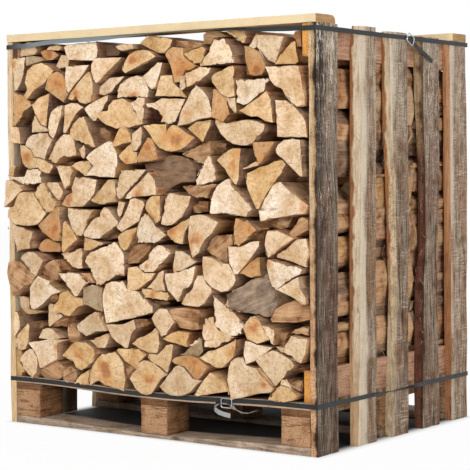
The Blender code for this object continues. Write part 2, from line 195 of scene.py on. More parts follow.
# Each end of the front row, in millimetres: its kind, how far it stands out from the pallet's
# front, and the corners of its outline as the camera sees them on the plane of that front.
# A dark heart or a knot follows where one shows: its middle and its radius.
FRONT_ENDS = [
    ("tan", -8, (-476, 1046), (-476, 1080), (-445, 1088), (-425, 1086), (-403, 1060), (-418, 1050)),
    ("cream", -10, (-505, 950), (-505, 1045), (-478, 1047), (-452, 1044), (-462, 1000), (-475, 975),
     (-492, 953)),
    ("grey", -10, (-450, 1020), (-452, 1032), (-450, 1046), (-425, 1048), (-398, 1043), (-388, 1034),
     (-415, 1027)),
    ("brown", -45, (-492, 947), (-493, 968), (-470, 979), (-452, 972), (-456, 950)),
    ("honey", 18, (-452, 926), (-463, 936), (-450, 953), (-457, 974), (-445, 1008), (-421, 1023),
     (-392, 1027), (-367, 1017), (-350, 1003), (-386, 969), (-417, 954)),
    ("orange", 12, (-377, 952), (-370, 980), (-355, 996), (-335, 1001), (-316, 992), (-305, 975),
     (-304, 955), (-300, 935), (-313, 912), (-345, 932), ("heart", -335, 965, 26)),
    ("cream", -16, (-339, 1015), (-319, 1046), (-300, 1044), (-288, 1030), (-293, 1010), (-328, 1007)),
    ("orange", -18, (-396, 1057), (-380, 1063), (-345, 1057), (-328, 1045), (-345, 1035), (-375, 1033),
     (-388, 1042), ("heart", -360, 1047, 12)),
    ("pale", -8, (-378, 1062), (-366, 1072), (-330, 1074), (-311, 1066), (-325, 1058), (-350, 1059)),
    ("brown", -40, (-412, 1060), (-402, 1078), (-372, 1080), (-380, 1064), (-396, 1058)),
    ("pale", -9, (-306, 1066), (-298, 1074), (-245, 1076), (-195, 1077), (-187, 1052), (-190, 1034),
     (-200, 1025), (-246, 1026), (-288, 1030), (-299, 1048)),
    ("white", 6, (-300, 1013), (-305, 978), (-302, 950), (-295, 938), (-246, 983), (-218, 1014)),
    ("honey", 22, (-294, 922), (-285, 940), (-246, 978), (-222, 996), (-211, 984), (-205, 963), (-204, 936),
     (-210, 914), (-233, 908), (-252, 911), (-268, 929), (-280, 918), ("heart", -269, 938, 14)),
    ("cream", 8, (-191, 961), (-200, 973), (-208, 994), (-208, 1013), (-200, 1028), (-185, 1032),
     (-104, 1030), (-116, 1019), (-143, 998), (-173, 973)),
    ("dark", -50, (-186, 1036), (-190, 1076), (-170, 1074), (-128, 1062), (-104, 1044), (-112, 1034),
     (-150, 1034)),
    ("cream", -10, (-121, 1060), (-100, 1065), (-62, 1064), (-60, 1050), (-100, 1046), (-113, 1051)),
    ("honey", 10, (-97, 992), (-94, 1014), (-79, 1035), (-54, 1046), (-25, 1047), (-2, 1041), (21, 1026),
     (-5, 1015), (-54, 996), (-86, 985), ("heart", -64, 1018, 16)),
    ("straw", -16, (-44, 1066), (-22, 1078), (-4, 1083), (20, 1079), (52, 1076), (82, 1067), (76, 1050),
     (53, 1033), (28, 1034), (-2, 1046), (-30, 1058)),
    ("orange", 0, (53, 1029), (60, 1040), (78, 1049), (110, 1046), (112, 1023), (150, 995), (130, 985),
     (115, 985), (98, 955), (78, 953), (74, 975), (66, 1005), ("heart", 93, 993, 26)),
    ("straw", 4, (116, 1031), (135, 1037), (172, 1046), (184, 1038), (178, 1017), (166, 1003), (143, 1001),
     (127, 1015), (115, 1025)),
    ("side", -20, (84, 1051), (86, 1066), (130, 1063), (177, 1054), (172, 1048), (135, 1038), (112, 1048)),
    ("cream", 6, (119, 978), (141, 985), (162, 993), (198, 990), (192, 976), (166, 957), (124, 940),
     (120, 962)),
    ("cream", 2, (96, 970), (116, 974), (121, 942), (106, 932), (98, 938)),
    ("white", 12, (-27, 974), (20, 1011), (36, 1010), (32, 988), (17, 944), (6, 939), (-6, 947)),
    ("honey", 0, (12, 921), (20, 945), (33, 976), (73, 975), (77, 956), (99, 938), (126, 913), (103, 917)),
    ("cream", -8, (-19, 902), (-13, 892), (0, 892), (25, 882), (41, 865), (34, 850), (60, 845), (84, 852),
     (100, 880), (116, 911), (35, 915), (12, 904)),
    ("cream", 14, (90, 839), (104, 880), (127, 916), (138, 934), (151, 943), (172, 933), (190, 912),
     (200, 883), (202, 860), (162, 856), (133, 846)),
    ("cream", 12, (-74, 905), (-46, 920), (-22, 918), (-24, 880), (-30, 848), (-50, 872)),
    ("honey", 24, (-187, 872), (-176, 883), (-148, 886), (-146, 900), (-130, 915), (-100, 919), (-77, 908),
     (-54, 874), (-36, 848), (-80, 838), (-122, 836), (-155, 848)),
    ("pale", 8, (-115, 919), (-114, 940), (-105, 956), (-74, 973), (-48, 979), (-26, 973), (-14, 955),
     (-8, 935), (-13, 918), (-74, 921)),
    ("cream", -8, (-182, 932), (-181, 952), (-168, 961), (-146, 976), (-90, 978), (-110, 960), (-134, 937),
     (-160, 927)),
    ("pale", 14, (-238, 894), (-221, 906), (-177, 921), (-147, 929), (-150, 914), (-166, 892), (-194, 859),
     (-203, 859), (-221, 873), (-234, 887)),
    ("orange", 0, (-506, 948), (-480, 942), (-451, 931), (-430, 910), (-450, 898), (-477, 871), (-495, 851),
     (-506, 850)),
    ("honey", 4, (-430, 909), (-404, 929), (-364, 941), (-368, 915), (-377, 868), (-379, 847), (-398, 852),
     (-421, 886)),
    ("pale", -2, (-433, 831), (-431, 860), (-421, 882), (-398, 851), (-379, 845), (-366, 834)),
    ("pale", -16, (162, 993), (180, 1018), (201, 1048), (212, 1063), (244, 1063), (263, 1041), (273, 1020),
     (277, 998), (235, 996), (200, 995)),
    ("side", -22, (180, 1052), (178, 1075), (190, 1084), (225, 1084), (252, 1068), (212, 1066),
     (200, 1050)),
    ("straw", -20, (246, 1081), (272, 1084), (310, 1081), (313, 1065), (308, 1047), (301, 1048),
     (273, 1066)),
    ("white", -22, (348, 1072), (322, 1038), (338, 1031), (346, 1035), (350, 1052)),
    ("cream", -16, (350, 1067), (402, 1064), (431, 1058), (414, 1019), (400, 992), (380, 1000), (367, 1015),
     (348, 1036)),
    ("straw", -18, (402, 989), (418, 1012), (451, 1043), (464, 1046), (468, 1020), (476, 993), (466, 986)),
    ("russet", -40, (455, 1056), (466, 1070), (484, 1071), (484, 1030), (470, 1030), (466, 1048)),
    ("orange", -12, (306, 1041), (324, 1037), (358, 1022), (370, 1004), (378, 988), (374, 975), (364, 964),
     (342, 962), (320, 967), (312, 990), (306, 1012), ("heart", 348, 977, 22)),
    ("honey", 6, (201, 965), (208, 972), (250, 987), (272, 992), (277, 985), (277, 912), (258, 909),
     (236, 917), (218, 934), (203, 951)),
    ("white", 5, (277, 955), (382, 956), (388, 950), (375, 942), (371, 922), (342, 908), (318, 892),
     (302, 889), (279, 897)),
    ("honey", 12, (293, 875), (318, 889), (350, 906), (376, 923), (386, 907), (390, 878), (391, 842),
     (369, 846), (316, 863)),
    ("cream", 10, (375, 985), (464, 985), (476, 981), (480, 960), (486, 930), (493, 900), (491, 882),
     (466, 881), (450, 892), (433, 911), (419, 929), (401, 937), (387, 954)),
    ("orange", 2, (202, 932), (208, 935), (226, 923), (250, 905), (256, 885), (262, 867), (244, 846),
     (212, 857), (203, 862)),
    ("tan", 0, (236, 917), (258, 908), (277, 910), (281, 895), (284, 873), (279, 868), (262, 884),
     (250, 905)),
    ("brown", -34, (257, 885), (272, 885), (288, 872), (262, 862), (248, 850)),
    ("cream", 15, (-511, 849), (-492, 850), (-483, 842), (-478, 820), (-479, 800), (-500, 801), (-518, 809),
     (-522, 828)),
    ("pale", 10, (-352, 812), (-366, 824), (-371, 845), (-367, 870), (-360, 888), (-346, 898), (-318, 906),
     (-322, 880), (-332, 850), (-342, 826)),
    ("cream", 3, (-312, 829), (-311, 905), (-285, 912), (-262, 910), (-238, 898), (-257, 889), (-275, 866),
     (-290, 845), (-303, 827)),
    ("cream", 8, (-463, 794), (-460, 805), (-450, 817), (-432, 826), (-409, 829), (-371, 829), (-351, 811),
     (-371, 783), (-377, 770), (-383, 753), (-405, 760), (-427, 762), (-438, 781)),
    ("honey", 22, (-487, 798), (-466, 795), (-438, 780), (-428, 760), (-405, 759), (-377, 751), (-348, 739),
     (-346, 733), (-361, 716), (-373, 716), (-397, 722), (-409, 732), (-432, 729), (-450, 728), (-465, 735),
     (-477, 745), (-485, 770), ("heart", -461, 763, 15)),
    ("honey", 25, (-532, 708), (-525, 725), (-511, 737), (-495, 737), (-503, 722), (-508, 708)),
    ("white", 36, (-540, 706), (-470, 706), (-452, 728), (-412, 729), (-400, 722), (-399, 688), (-430, 685),
     (-470, 684), (-500, 697)),
    ("cream", 38, (-540, 697), (-515, 695), (-485, 683), (-472, 668), (-482, 663), (-507, 640),
     (-540, 618)),
    ("honey", 10, (-429, 660), (-417, 676), (-398, 689), (-386, 690), (-378, 672), (-357, 645), (-340, 634),
     (-353, 612), (-371, 605), (-382, 604), (-394, 616), (-425, 651)),
    ("tan", -5, (-373, 691), (-336, 690), (-319, 668), (-319, 658), (-332, 639), (-348, 649), (-378, 683)),
    ("cream", 5, (-339, 735), (-313, 737), (-292, 736), (-280, 722), (-296, 682), (-313, 671), (-325, 697)),
    ("cream", 8, (-371, 754), (-348, 793), (-328, 816), (-313, 826), (-292, 824), (-275, 808), (-267, 772),
     (-271, 764), (-328, 759), (-342, 743), (-357, 747)),
    ("brown", -30, (-342, 746), (-268, 748), (-285, 738), (-335, 737)),
    ("honey", 6, (-290, 822), (-288, 838), (-277, 852), (-250, 871), (-235, 873), (-222, 845), (-208, 812),
     (-200, 786), (-237, 795), (-284, 811), ("heart", -278, 844, 13)),
    ("side", -40, (-222, 852), (-190, 856), (-140, 826), (-140, 800), (-165, 800), (-195, 789),
     (-210, 815)),
    ("white", 20, (-227, 758), (-220, 768), (-200, 782), (-170, 797), (-154, 804), (-141, 801), (-125, 768),
     (-122, 745), (-131, 703), (-179, 705), (-227, 709), (-202, 735), (-216, 747)),
    ("cream", -5, (-258, 782), (-239, 794), (-234, 783), (-234, 762), (-241, 755), (-249, 760)),
    ("honey", 8, (-285, 735), (-270, 745), (-250, 750), (-227, 751), (-212, 735), (-227, 712), (-237, 706),
     (-245, 714), (-268, 726)),
    ("cream", 12, (-328, 627), (-307, 653), (-284, 662), (-286, 676), (-270, 707), (-241, 706), (-191, 698),
     (-202, 660), (-218, 643), (-245, 623), (-300, 620), ("heart", -298, 640, 26)),
    ("honey", 8, (-220, 641), (-200, 655), (-170, 683), (-152, 698), (-135, 699), (-126, 690), (-122, 658),
     (-131, 637), (-152, 635), (-181, 629), (-212, 636)),
    ("straw", 8, (-138, 792), (-122, 820), (-112, 835), (-100, 842), (-89, 841), (-77, 826), (-68, 800),
     (-87, 797), (-128, 787)),
    ("cream", 10, (-64, 822), (-33, 841), (-30, 825), (-37, 793), (-54, 775), (-64, 775), (-68, 792)),
    ("straw", 12, (-114, 764), (-87, 787), (-73, 795), (-67, 792), (-64, 773), (-50, 773), (-48, 744),
     (-70, 740), (-88, 739), (-108, 754), ("heart", -85, 757, 14)),
    ("orange", 14, (-50, 756), (-35, 782), (-20, 801), (-12, 812), (0, 808), (15, 785), (22, 752),
     (-1, 747), (-46, 744), ("heart", -8, 785, 24)),
    ("tan", 14, (-102, 726), (-20, 725), (-48, 697), (-93, 660), (-106, 647), (-116, 645), (-122, 653),
     (-123, 676)),
    ("cream", 15, (-91, 646), (-85, 658), (-48, 689), (-15, 718), (-1, 707), (8, 697), (14, 678), (17, 656),
     (-30, 653), (-64, 651), (-75, 646)),
    ("cream", 6, (-118, 640), (-93, 637), (-102, 605), (-110, 595), (-118, 601), (-123, 615)),
    ("straw", 16, (-29, 843), (8, 847), (49, 846), (50, 824), (60, 836), (72, 844), (88, 841), (120, 820),
     (146, 808), (118, 786), (100, 777), (75, 772), (50, 774), (28, 782), (12, 797), (-12, 828),
     ("heart", 84, 803, 36)),
    ("straw", 10, (124, 833), (151, 850), (199, 854), (198, 842), (174, 796), (153, 810)),
    ("tan", 16, (214, 855), (213, 845), (230, 816), (250, 799), (270, 789), (293, 785), (312, 785),
     (331, 791), (368, 822), (372, 837), (350, 846), (318, 852), (298, 851), (250, 843)),
    ("side", -12, (104, 764), (137, 781), (189, 800), (201, 799), (201, 762), (174, 737), (143, 749)),
    ("brown", -40, (204, 799), (250, 792), (250, 775), (225, 762), (204, 760), ("heart", 235, 780, 14)),
    ("dark", -22, (-24, 741), (35, 750), (50, 760), (70, 764), (105, 760), (135, 745), (150, 722),
     (148, 692), (100, 690), (60, 672), (45, 660), (20, 657), (10, 700), (-14, 720)),
    ("white", 12, (147, 697), (170, 735), (191, 761), (201, 757), (214, 720), (215, 697), (201, 690),
     (149, 682)),
    ("honey", 8, (217, 749), (230, 760), (254, 775), (270, 780), (293, 778), (290, 697), (284, 684),
     (277, 687), (235, 733), ("heart", 270, 743, 16)),
    ("honey", 0, (297, 727), (343, 745), (352, 740), (350, 733), (302, 724)),
    ("orange", 5, (331, 794), (400, 795), (381, 768), (354, 737), (348, 739), (334, 775)),
    ("cream", 14, (401, 774), (408, 787), (427, 799), (447, 800), (479, 798), (487, 705), (481, 705),
     (443, 735), (404, 764)),
    ("cream", 5, (404, 900), (436, 898), (467, 878), (486, 859), (495, 843), (498, 803), (425, 805),
     (406, 806)),
    ("straw", 18, (310, 714), (350, 731), (375, 735), (398, 745), (423, 748), (434, 737), (404, 693),
     (377, 660), (356, 623), (348, 622), (316, 672), (309, 692)),
    ("white", 14, (350, 620), (358, 624), (370, 649), (397, 685), (408, 691), (418, 693), (447, 668),
     (500, 632), (487, 612), (447, 607), (354, 591), ("heart", 480, 625, 18)),
    ("white", 22, (189, 612), (197, 647), (207, 666), (220, 683), (250, 699), (260, 701), (275, 676),
     (304, 649), (329, 622), (308, 602), (235, 609), (191, 608)),
    ("side", 2, (105, 680), (147, 683), (201, 687), (218, 686), (187, 649), (153, 649), (125, 659),
     ("heart", 179, 681, 16)),
    ("brown", -10, (136, 628), (151, 635), (175, 642), (190, 640), (188, 614), (142, 610)),
    ("honey", 30, (-490, 660), (-470, 664), (-434, 662), (-425, 650), (-384, 604), (-402, 581), (-417, 571),
     (-450, 566), (-500, 569), (-519, 581), (-530, 591), (-528, 612), (-508, 622)),
    ("cream", 22, (-530, 585), (-500, 566), (-467, 561), (-425, 550), (-431, 547), (-440, 502), (-463, 500),
     (-496, 489), (-503, 512), (-513, 531), (-528, 535)),
    ("orange", 14, (-415, 568), (-377, 597), (-352, 616), (-338, 623), (-328, 620), (-332, 600),
     (-327, 558), (-338, 525), (-355, 525), (-400, 550), ("heart", -349, 562, 20)),
    ("straw", 16, (-309, 584), (-317, 577), (-321, 558), (-329, 502), (-324, 492), (-290, 516), (-267, 531),
     (-275, 545), (-298, 573)),
    ("tan", 8, (-297, 619), (-268, 617), (-208, 615), (-222, 593), (-239, 564), (-248, 547), (-256, 541),
     (-272, 543), (-288, 560), (-300, 600)),
    ("side", 22, (-533, 423), (-530, 462), (-486, 464), (-448, 435), (-430, 423), (-444, 400), (-467, 396),
     (-492, 381), (-521, 362), (-532, 370)),
    ("tan", 12, (-486, 472), (-478, 481), (-463, 490), (-444, 494), (-421, 490), (-391, 470), (-417, 437),
     (-428, 422), (-448, 433)),
    ("orange", 8, (-414, 502), (-405, 518), (-390, 529), (-377, 533), (-348, 523), (-330, 520), (-328, 500),
     (-336, 495), (-402, 493), ("heart", -377, 508, 13)),
    ("side", -8, (-407, 439), (-398, 452), (-375, 466), (-348, 473), (-336, 472), (-332, 443), (-344, 414),
     (-371, 412), (-398, 427)),
    ("brown", -10, (-334, 472), (-320, 471), (-290, 453), (-290, 441), (-330, 440)),
    ("brown", -20, (-342, 432), (-302, 394), (-340, 390), (-373, 405), (-370, 412), (-344, 413)),
    ("cream", 10, (-329, 491), (-305, 496), (-256, 508), (-248, 493), (-246, 452), (-262, 450), (-282, 454),
     (-318, 477)),
    ("white", 14, (-337, 435), (-300, 440), (-262, 437), (-229, 413), (-250, 395), (-272, 372),
     (-281, 372)),
    ("side", -10, (-258, 438), (-222, 440), (-206, 412), (-226, 412)),
    ("cream", 16, (-81, 625), (-70, 645), (-54, 649), (-29, 641), (-24, 630), (-43, 597), (-47, 585),
     (-73, 573), (-110, 555), (-123, 564), (-125, 570), (-100, 597)),
    ("cream", 12, (-241, 550), (-214, 583), (-200, 593), (-183, 597), (-181, 610), (-170, 623), (-154, 618),
     (-122, 583), (-123, 575), (-173, 545), (-185, 535), (-214, 535), (-238, 541),
     ("heart", -168, 602, 14)),
    ("side", -25, (-185, 531), (-122, 572), (-110, 554), (-120, 540), (-175, 526)),
    ("straw", 14, (-240, 540), (-170, 524), (-173, 520), (-220, 502), (-244, 501), (-244, 520)),
    ("cream", 26, (-239, 472), (-233, 485), (-218, 498), (-177, 512), (-150, 522), (-131, 528), (-122, 523),
     (-100, 497), (-98, 472), (-99, 437), (-122, 437), (-150, 423), (-185, 406), (-200, 406), (-218, 445)),
    ("straw", 14, (-118, 540), (-114, 547), (-93, 560), (-54, 570), (-54, 562), (-89, 508), (-100, 504),
     (-112, 516)),
    ("white", 20, (-53, 554), (-50, 572), (-37, 597), (-25, 608), (-15, 603), (8, 579), (30, 562),
     (48, 550), (28, 536), (8, 527), (-50, 527)),
    ("side", -15, (-82, 500), (-70, 523), (-5, 524), (-8, 505), (-50, 470), (-85, 468)),
    ("white", 12, (20, 523), (35, 522), (47, 516), (66, 502), (20, 462), (3, 449), (-29, 448), (-47, 456),
     (-47, 466), (-16, 483), (-14, 497), (7, 516), ("heart", -22, 464, 8)),
    ("honey", 14, (-84, 459), (-55, 464), (-29, 446), (8, 447), (-5, 430), (-54, 398), (-80, 397),
     (-86, 405)),
    ("cream", 10, (45, 637), (51, 655), (57, 663), (101, 657), (128, 655), (122, 630), (103, 599),
     (86, 587), (70, 577), (52, 575), (34, 579), (37, 600)),
    ("straw", 14, (-24, 620), (-20, 635), (-11, 647), (3, 655), (30, 655), (28, 610), (27, 588), (12, 580),
     (-5, 598)),
    ("honey", 12, (51, 561), (66, 569), (101, 588), (124, 597), (128, 583), (110, 558), (105, 527),
     (95, 527), (78, 531), (53, 550), ("heart", 78, 552, 18)),
    ("cream", 16, (124, 579), (130, 602), (143, 605), (162, 607), (182, 604), (222, 587), (201, 558),
     (178, 541), (159, 516), (155, 504), (133, 491), (124, 522), (120, 543), ("heart", 150, 535, 22)),
    ("cream", 12, (78, 509), (103, 509), (130, 497), (133, 489), (151, 481), (124, 468), (93, 454),
     (70, 450), (69, 472)),
    ("white", 16, (41, 447), (66, 449), (89, 453), (147, 472), (135, 427), (124, 414), (105, 408),
     (89, 375), (85, 373), (51, 402), (40, 433)),
    ("cream", 2, (35, 456), (41, 414), (45, 399), (8, 399), (-17, 406), (8, 431), (20, 450)),
    ("honey", 6, (-38, 398), (-35, 404), (-5, 404), (53, 397), (57, 387), (49, 375), (1, 376), (-29, 379),
     ("heart", -2, 388, 14)),
    ("dark", -20, (-20, 374), (50, 374), (60, 368), (40, 362), (-10, 362)),
    ("cream", 14, (153, 446), (170, 446), (185, 423), (199, 414), (199, 402), (174, 373), (153, 362),
     (105, 364), (95, 368), (112, 395), (124, 400), (135, 412), (141, 429), ("heart", 139, 364, 3)),
    ("cream", 18, (172, 497), (203, 493), (235, 480), (252, 479), (270, 454), (273, 437), (266, 422),
     (250, 408), (230, 404), (201, 415), (176, 437), (171, 472)),
    ("side", 0, (183, 516), (201, 541), (215, 553), (266, 556), (268, 530), (252, 524), (250, 483),
     (235, 481), (200, 503)),
    ("white", 16, (250, 525), (291, 525), (322, 538), (350, 541), (350, 527), (327, 498), (283, 452),
     (273, 454), (256, 481)),
    ("orange", 12, (279, 599), (312, 592), (331, 579), (343, 568), (312, 545), (285, 525), (273, 531),
     (270, 552), (272, 577), ("heart", 322, 566, 18)),
    ("brown", -18, (320, 594), (352, 590), (400, 597), (452, 604), (440, 577), (420, 572), (350, 573)),
    ("brown", -22, (325, 558), (345, 570), (373, 569), (366, 541), (315, 538)),
    ("cream", 14, (377, 568), (408, 569), (427, 562), (458, 549), (408, 518), (377, 497), (367, 531),
     (370, 552)),
    ("side", 4, (444, 562), (466, 587), (473, 600), (483, 604), (498, 597), (502, 572), (466, 554),
     (454, 552)),
    ("cream", 12, (405, 508), (437, 523), (450, 537), (466, 548), (495, 550), (504, 520), (498, 477),
     (447, 491), (404, 500)),
    ("white", 18, (379, 495), (427, 485), (466, 479), (481, 472), (477, 462), (427, 433), (400, 416),
     (389, 425), (381, 447), (375, 481), ("heart", 384, 488, 12)),
    ("cream", 20, (404, 418), (427, 431), (472, 454), (475, 425), (491, 402), (493, 387), (487, 382),
     (447, 402)),
    ("orange", 0, (291, 456), (322, 485), (343, 498), (352, 500), (354, 450), (325, 445)),
    ("cream", -5, (238, 372), (248, 388), (262, 366), (250, 365)),
    ("white", 24, (-448, 391), (-430, 412), (-415, 426), (-371, 412), (-373, 404), (-332, 383), (-367, 373),
     (-398, 346), (-432, 328), (-444, 330), (-450, 345)),
    ("tan", -4, (-495, 363), (-477, 365), (-452, 360), (-448, 328), (-388, 326), (-421, 317), (-448, 314),
     (-463, 317), (-482, 330), (-492, 350)),
    ("pale", 16, (-511, 319), (-500, 319), (-492, 307), (-488, 286), (-490, 271), (-511, 246), (-515, 280)),
    ("honey", 12, (-457, 289), (-452, 282), (-456, 236), (-469, 213), (-482, 209), (-498, 212), (-509, 232),
     (-496, 255)),
    ("cream", 16, (-490, 180), (-484, 194), (-467, 209), (-453, 216), (-442, 214), (-423, 192), (-421, 173),
     (-425, 148), (-442, 130), (-477, 159)),
    ("straw", 10, (-490, 140), (-477, 146), (-469, 152), (-484, 168), (-492, 176)),
    ("white", 24, (-457, 232), (-432, 238), (-378, 246), (-309, 249), (-348, 238), (-347, 192), (-386, 173),
     (-403, 163), (-412, 163), (-423, 196), (-436, 213)),
    ("tan", 8, (-415, 248), (-402, 273), (-386, 279), (-367, 278), (-332, 252), (-367, 244)),
    ("brown", -25, (-450, 290), (-450, 245), (-418, 248), (-405, 272), (-390, 282), (-400, 297),
     (-440, 294)),
    ("straw", 12, (-367, 330), (-355, 346), (-340, 357), (-332, 380), (-303, 389), (-277, 371), (-250, 368),
     (-249, 350), (-270, 342), (-300, 315), (-318, 317), (-332, 324), (-350, 321)),
    ("cream", 12, (-380, 342), (-373, 350), (-356, 347), (-367, 329), (-332, 323), (-321, 315), (-348, 298),
     (-373, 282), (-378, 285)),
    ("brown", -12, (-378, 357), (-365, 370), (-345, 377), (-338, 366), (-355, 350), (-372, 352)),
    ("brown", -15, (-350, 300), (-320, 316), (-303, 318), (-305, 285), (-365, 282)),
    ("side", -8, (-303, 300), (-283, 285), (-262, 270), (-265, 245), (-300, 240), (-305, 262)),
    ("straw", 16, (-332, 202), (-317, 217), (-298, 234), (-278, 246), (-237, 246), (-212, 234), (-202, 215),
     (-218, 190), (-239, 173), (-256, 169), (-277, 173), (-288, 190), (-313, 196),
     ("heart", -269, 206, 20)),
    ("side", 6, (-421, 150), (-405, 161), (-361, 182), (-348, 188), (-332, 178), (-321, 163), (-323, 146),
     (-348, 130), (-375, 126), (-394, 130), (-409, 140)),
    ("side", 4, (-327, 173), (-292, 175), (-277, 165), (-273, 148), (-278, 134), (-300, 123), (-325, 136),
     ("heart", -306, 154, 17)),
    ("honey", 2, (-283, 126), (-275, 140), (-262, 153), (-230, 171), (-230, 127)),
    ("grey", -4, (-246, 398), (-225, 405), (-200, 406), (-180, 400), (-179, 334), (-198, 336), (-222, 346),
     (-247, 351)),
    ("tan", 18, (-281, 290), (-237, 317), (-200, 334), (-185, 332), (-170, 300), (-162, 282), (-202, 278),
     (-222, 269), (-243, 262), (-275, 275)),
    ("tan", 6, (-225, 253), (-162, 275), (-154, 267), (-160, 248), (-170, 234), (-198, 233), (-208, 242)),
    ("cream", 20, (-179, 352), (-177, 380), (-162, 412), (-141, 420), (-100, 423), (-88, 403), (-45, 395),
     (-31, 376), (0, 356), (-1, 340), (-60, 325), (-93, 317), (-154, 305), (-170, 302)),
    ("tan", 14, (-170, 299), (-100, 305), (-58, 320), (-52, 296), (-70, 282), (-91, 238), (-102, 237),
     (-135, 253), (-152, 265)),
    ("brown", -14, (-50, 320), (-20, 322), (-5, 310), (-20, 300), (-48, 295)),
    ("honey", 10, (-72, 253), (-54, 267), (-5, 288), (8, 300), (18, 288), (21, 260), (12, 230), (-16, 230),
     (-47, 240)),
    ("straw", 12, (-130, 230), (-125, 236), (-100, 236), (-48, 239), (-20, 225), (-48, 203), (-58, 182),
     (-73, 190), (-100, 202), (-116, 217)),
    ("honey", 14, (-229, 125), (-227, 159), (-218, 180), (-198, 205), (-179, 219), (-133, 227), (-118, 215),
     (-104, 198), (-96, 153), (-104, 119), (-150, 128), (-170, 130), (-195, 142), (-204, 140),
     ("heart", -171, 171, 30)),
    ("brown", -16, (-96, 200), (-62, 184), (-82, 155), (-94, 155)),
    ("honey", 14, (-82, 155), (-73, 169), (-56, 184), (-48, 202), (-29, 211), (5, 205), (47, 175),
     (26, 163), (-9, 121), (-30, 114), (-47, 117), (-64, 128), ("heart", -8, 160, 24)),
    ("cream", 14, (-5, 324), (5, 340), (20, 352), (47, 352), (57, 342), (74, 317), (51, 292), (47, 282),
     (30, 278), (8, 305)),
    ("side", 8, (60, 350), (78, 355), (105, 357), (153, 352), (153, 300), (133, 296), (95, 302), (78, 319)),
    ("straw", 10, (37, 271), (43, 277), (62, 288), (85, 296), (120, 291), (112, 253), (62, 263)),
    ("honey", 14, (-18, 219), (-13, 228), (14, 228), (37, 246), (43, 255), (62, 259), (68, 255), (62, 217),
     (49, 180), (18, 198), (-7, 209)),
    ("grey", -6, (89, 231), (108, 238), (120, 252), (143, 268), (155, 282), (164, 277), (170, 248),
     (151, 228), (105, 231)),
    ("white", -2, (120, 259), (135, 256), (158, 272), (143, 275), (135, 265)),
    ("cream", 14, (174, 334), (201, 340), (203, 327), (218, 305), (272, 288), (250, 275), (210, 257),
     (174, 257), (165, 294), (168, 317)),
    ("white", 24, (203, 397), (207, 352), (208, 313), (226, 302), (254, 291), (273, 292), (293, 298),
     (302, 318), (273, 352), (252, 365), (230, 378)),
    ("umber", -2, (250, 400), (277, 414), (298, 422), (323, 439), (350, 448), (373, 458), (389, 425),
     (404, 410), (403, 375), (387, 350), (377, 344), (327, 352), (300, 353), (264, 361)),
    ("side", 16, (389, 342), (395, 353), (402, 367), (427, 382), (456, 392), (485, 381), (504, 379),
     (504, 346), (466, 336), (427, 334), (395, 334)),
    ("side", -6, (448, 308), (460, 320), (485, 328), (503, 325), (503, 305)),
    ("honey", 6, (302, 313), (312, 332), (327, 347), (350, 338), (362, 313), (377, 288), (350, 278),
     (339, 275), (312, 286), ("heart", 333, 314, 14)),
    ("cream", 10, (358, 325), (377, 323), (395, 315), (397, 303), (393, 275), (385, 280), (370, 303)),
    ("side", -20, (398, 311), (440, 311), (428, 274), (396, 274)),
    ("tan", 14, (423, 259), (429, 278), (448, 303), (500, 298), (491, 259), (477, 234), (466, 236)),
    ("cream", 2, (400, 273), (429, 271), (425, 259), (418, 257)),
    ("white", 12, (301, 244), (302, 263), (306, 282), (322, 281), (340, 274), (388, 269), (370, 255),
     (337, 232), (308, 221)),
    ("tan", 22, (337, 232), (350, 244), (389, 263), (408, 259), (447, 240), (458, 227), (400, 170),
     (366, 203)),
    ("brown", -18, (458, 226), (485, 232), (503, 232), (500, 215), (435, 203)),
    ("cream", 2, (416, 190), (435, 188), (450, 168), (414, 176)),
    ("brown", -10, (438, 188), (480, 192), (482, 160), (462, 165)),
    ("honey", 12, (372, 132), (400, 167), (414, 175), (448, 169), (468, 150), (460, 140), (427, 131)),
    ("tan", 20, (245, 175), (250, 209), (258, 225), (273, 236), (297, 238), (308, 219), (341, 213),
     (358, 192), (393, 165), (385, 153), (350, 148), (256, 123)),
    ("side", -2, (341, 213), (352, 215), (398, 170), (388, 168), (358, 192)),
    ("honey", 16, (160, 228), (187, 248), (207, 252), (250, 271), (273, 282), (272, 255), (264, 236),
     (250, 223), (230, 206), (210, 205), (178, 219), ("heart", 266, 258, 15)),
    ("orange", 12, (64, 215), (78, 225), (101, 231), (124, 233), (151, 227), (183, 205), (166, 186),
     (149, 169), (137, 171), (105, 202), (74, 207), ("heart", 145, 216, 16)),
    ("tan", 22, (22, 142), (62, 186), (78, 202), (89, 205), (103, 200), (133, 171), (162, 167), (149, 159),
     (124, 134), (105, 125), (78, 120), (55, 121), (37, 128)),
    ("honey", 12, (132, 127), (170, 173), (191, 192), (201, 190), (239, 169), (250, 146), (143, 124)),
]


def crossings(outline, level):
    """The x of each place where an outline crosses a level."""
    found = []
    for (x0, z0), (x1, z1) in zip(outline, outline[1:] + outline[:1]):
        if (z0 - level) * (z1 - level) < 0:
            found.append(x0 + (x1 - x0) * (level - z0) / (z1 - z0))
    return found


def sight_slope(x):
    """How far sideways the camera's line of sight runs, for each millimetre of depth, at an x in metres."""
    return (camera_place.x - x) / (FRONT_PLANE - camera_place.y)


def centre_of(outline):
    """The mean of an outline's corners."""
    return sum(outline, Vector((0, 0))) / len(outline)


# the levels, in millimetres, at which each end is compared with its neighbours
LEVELS = range(108, 1092, 6)


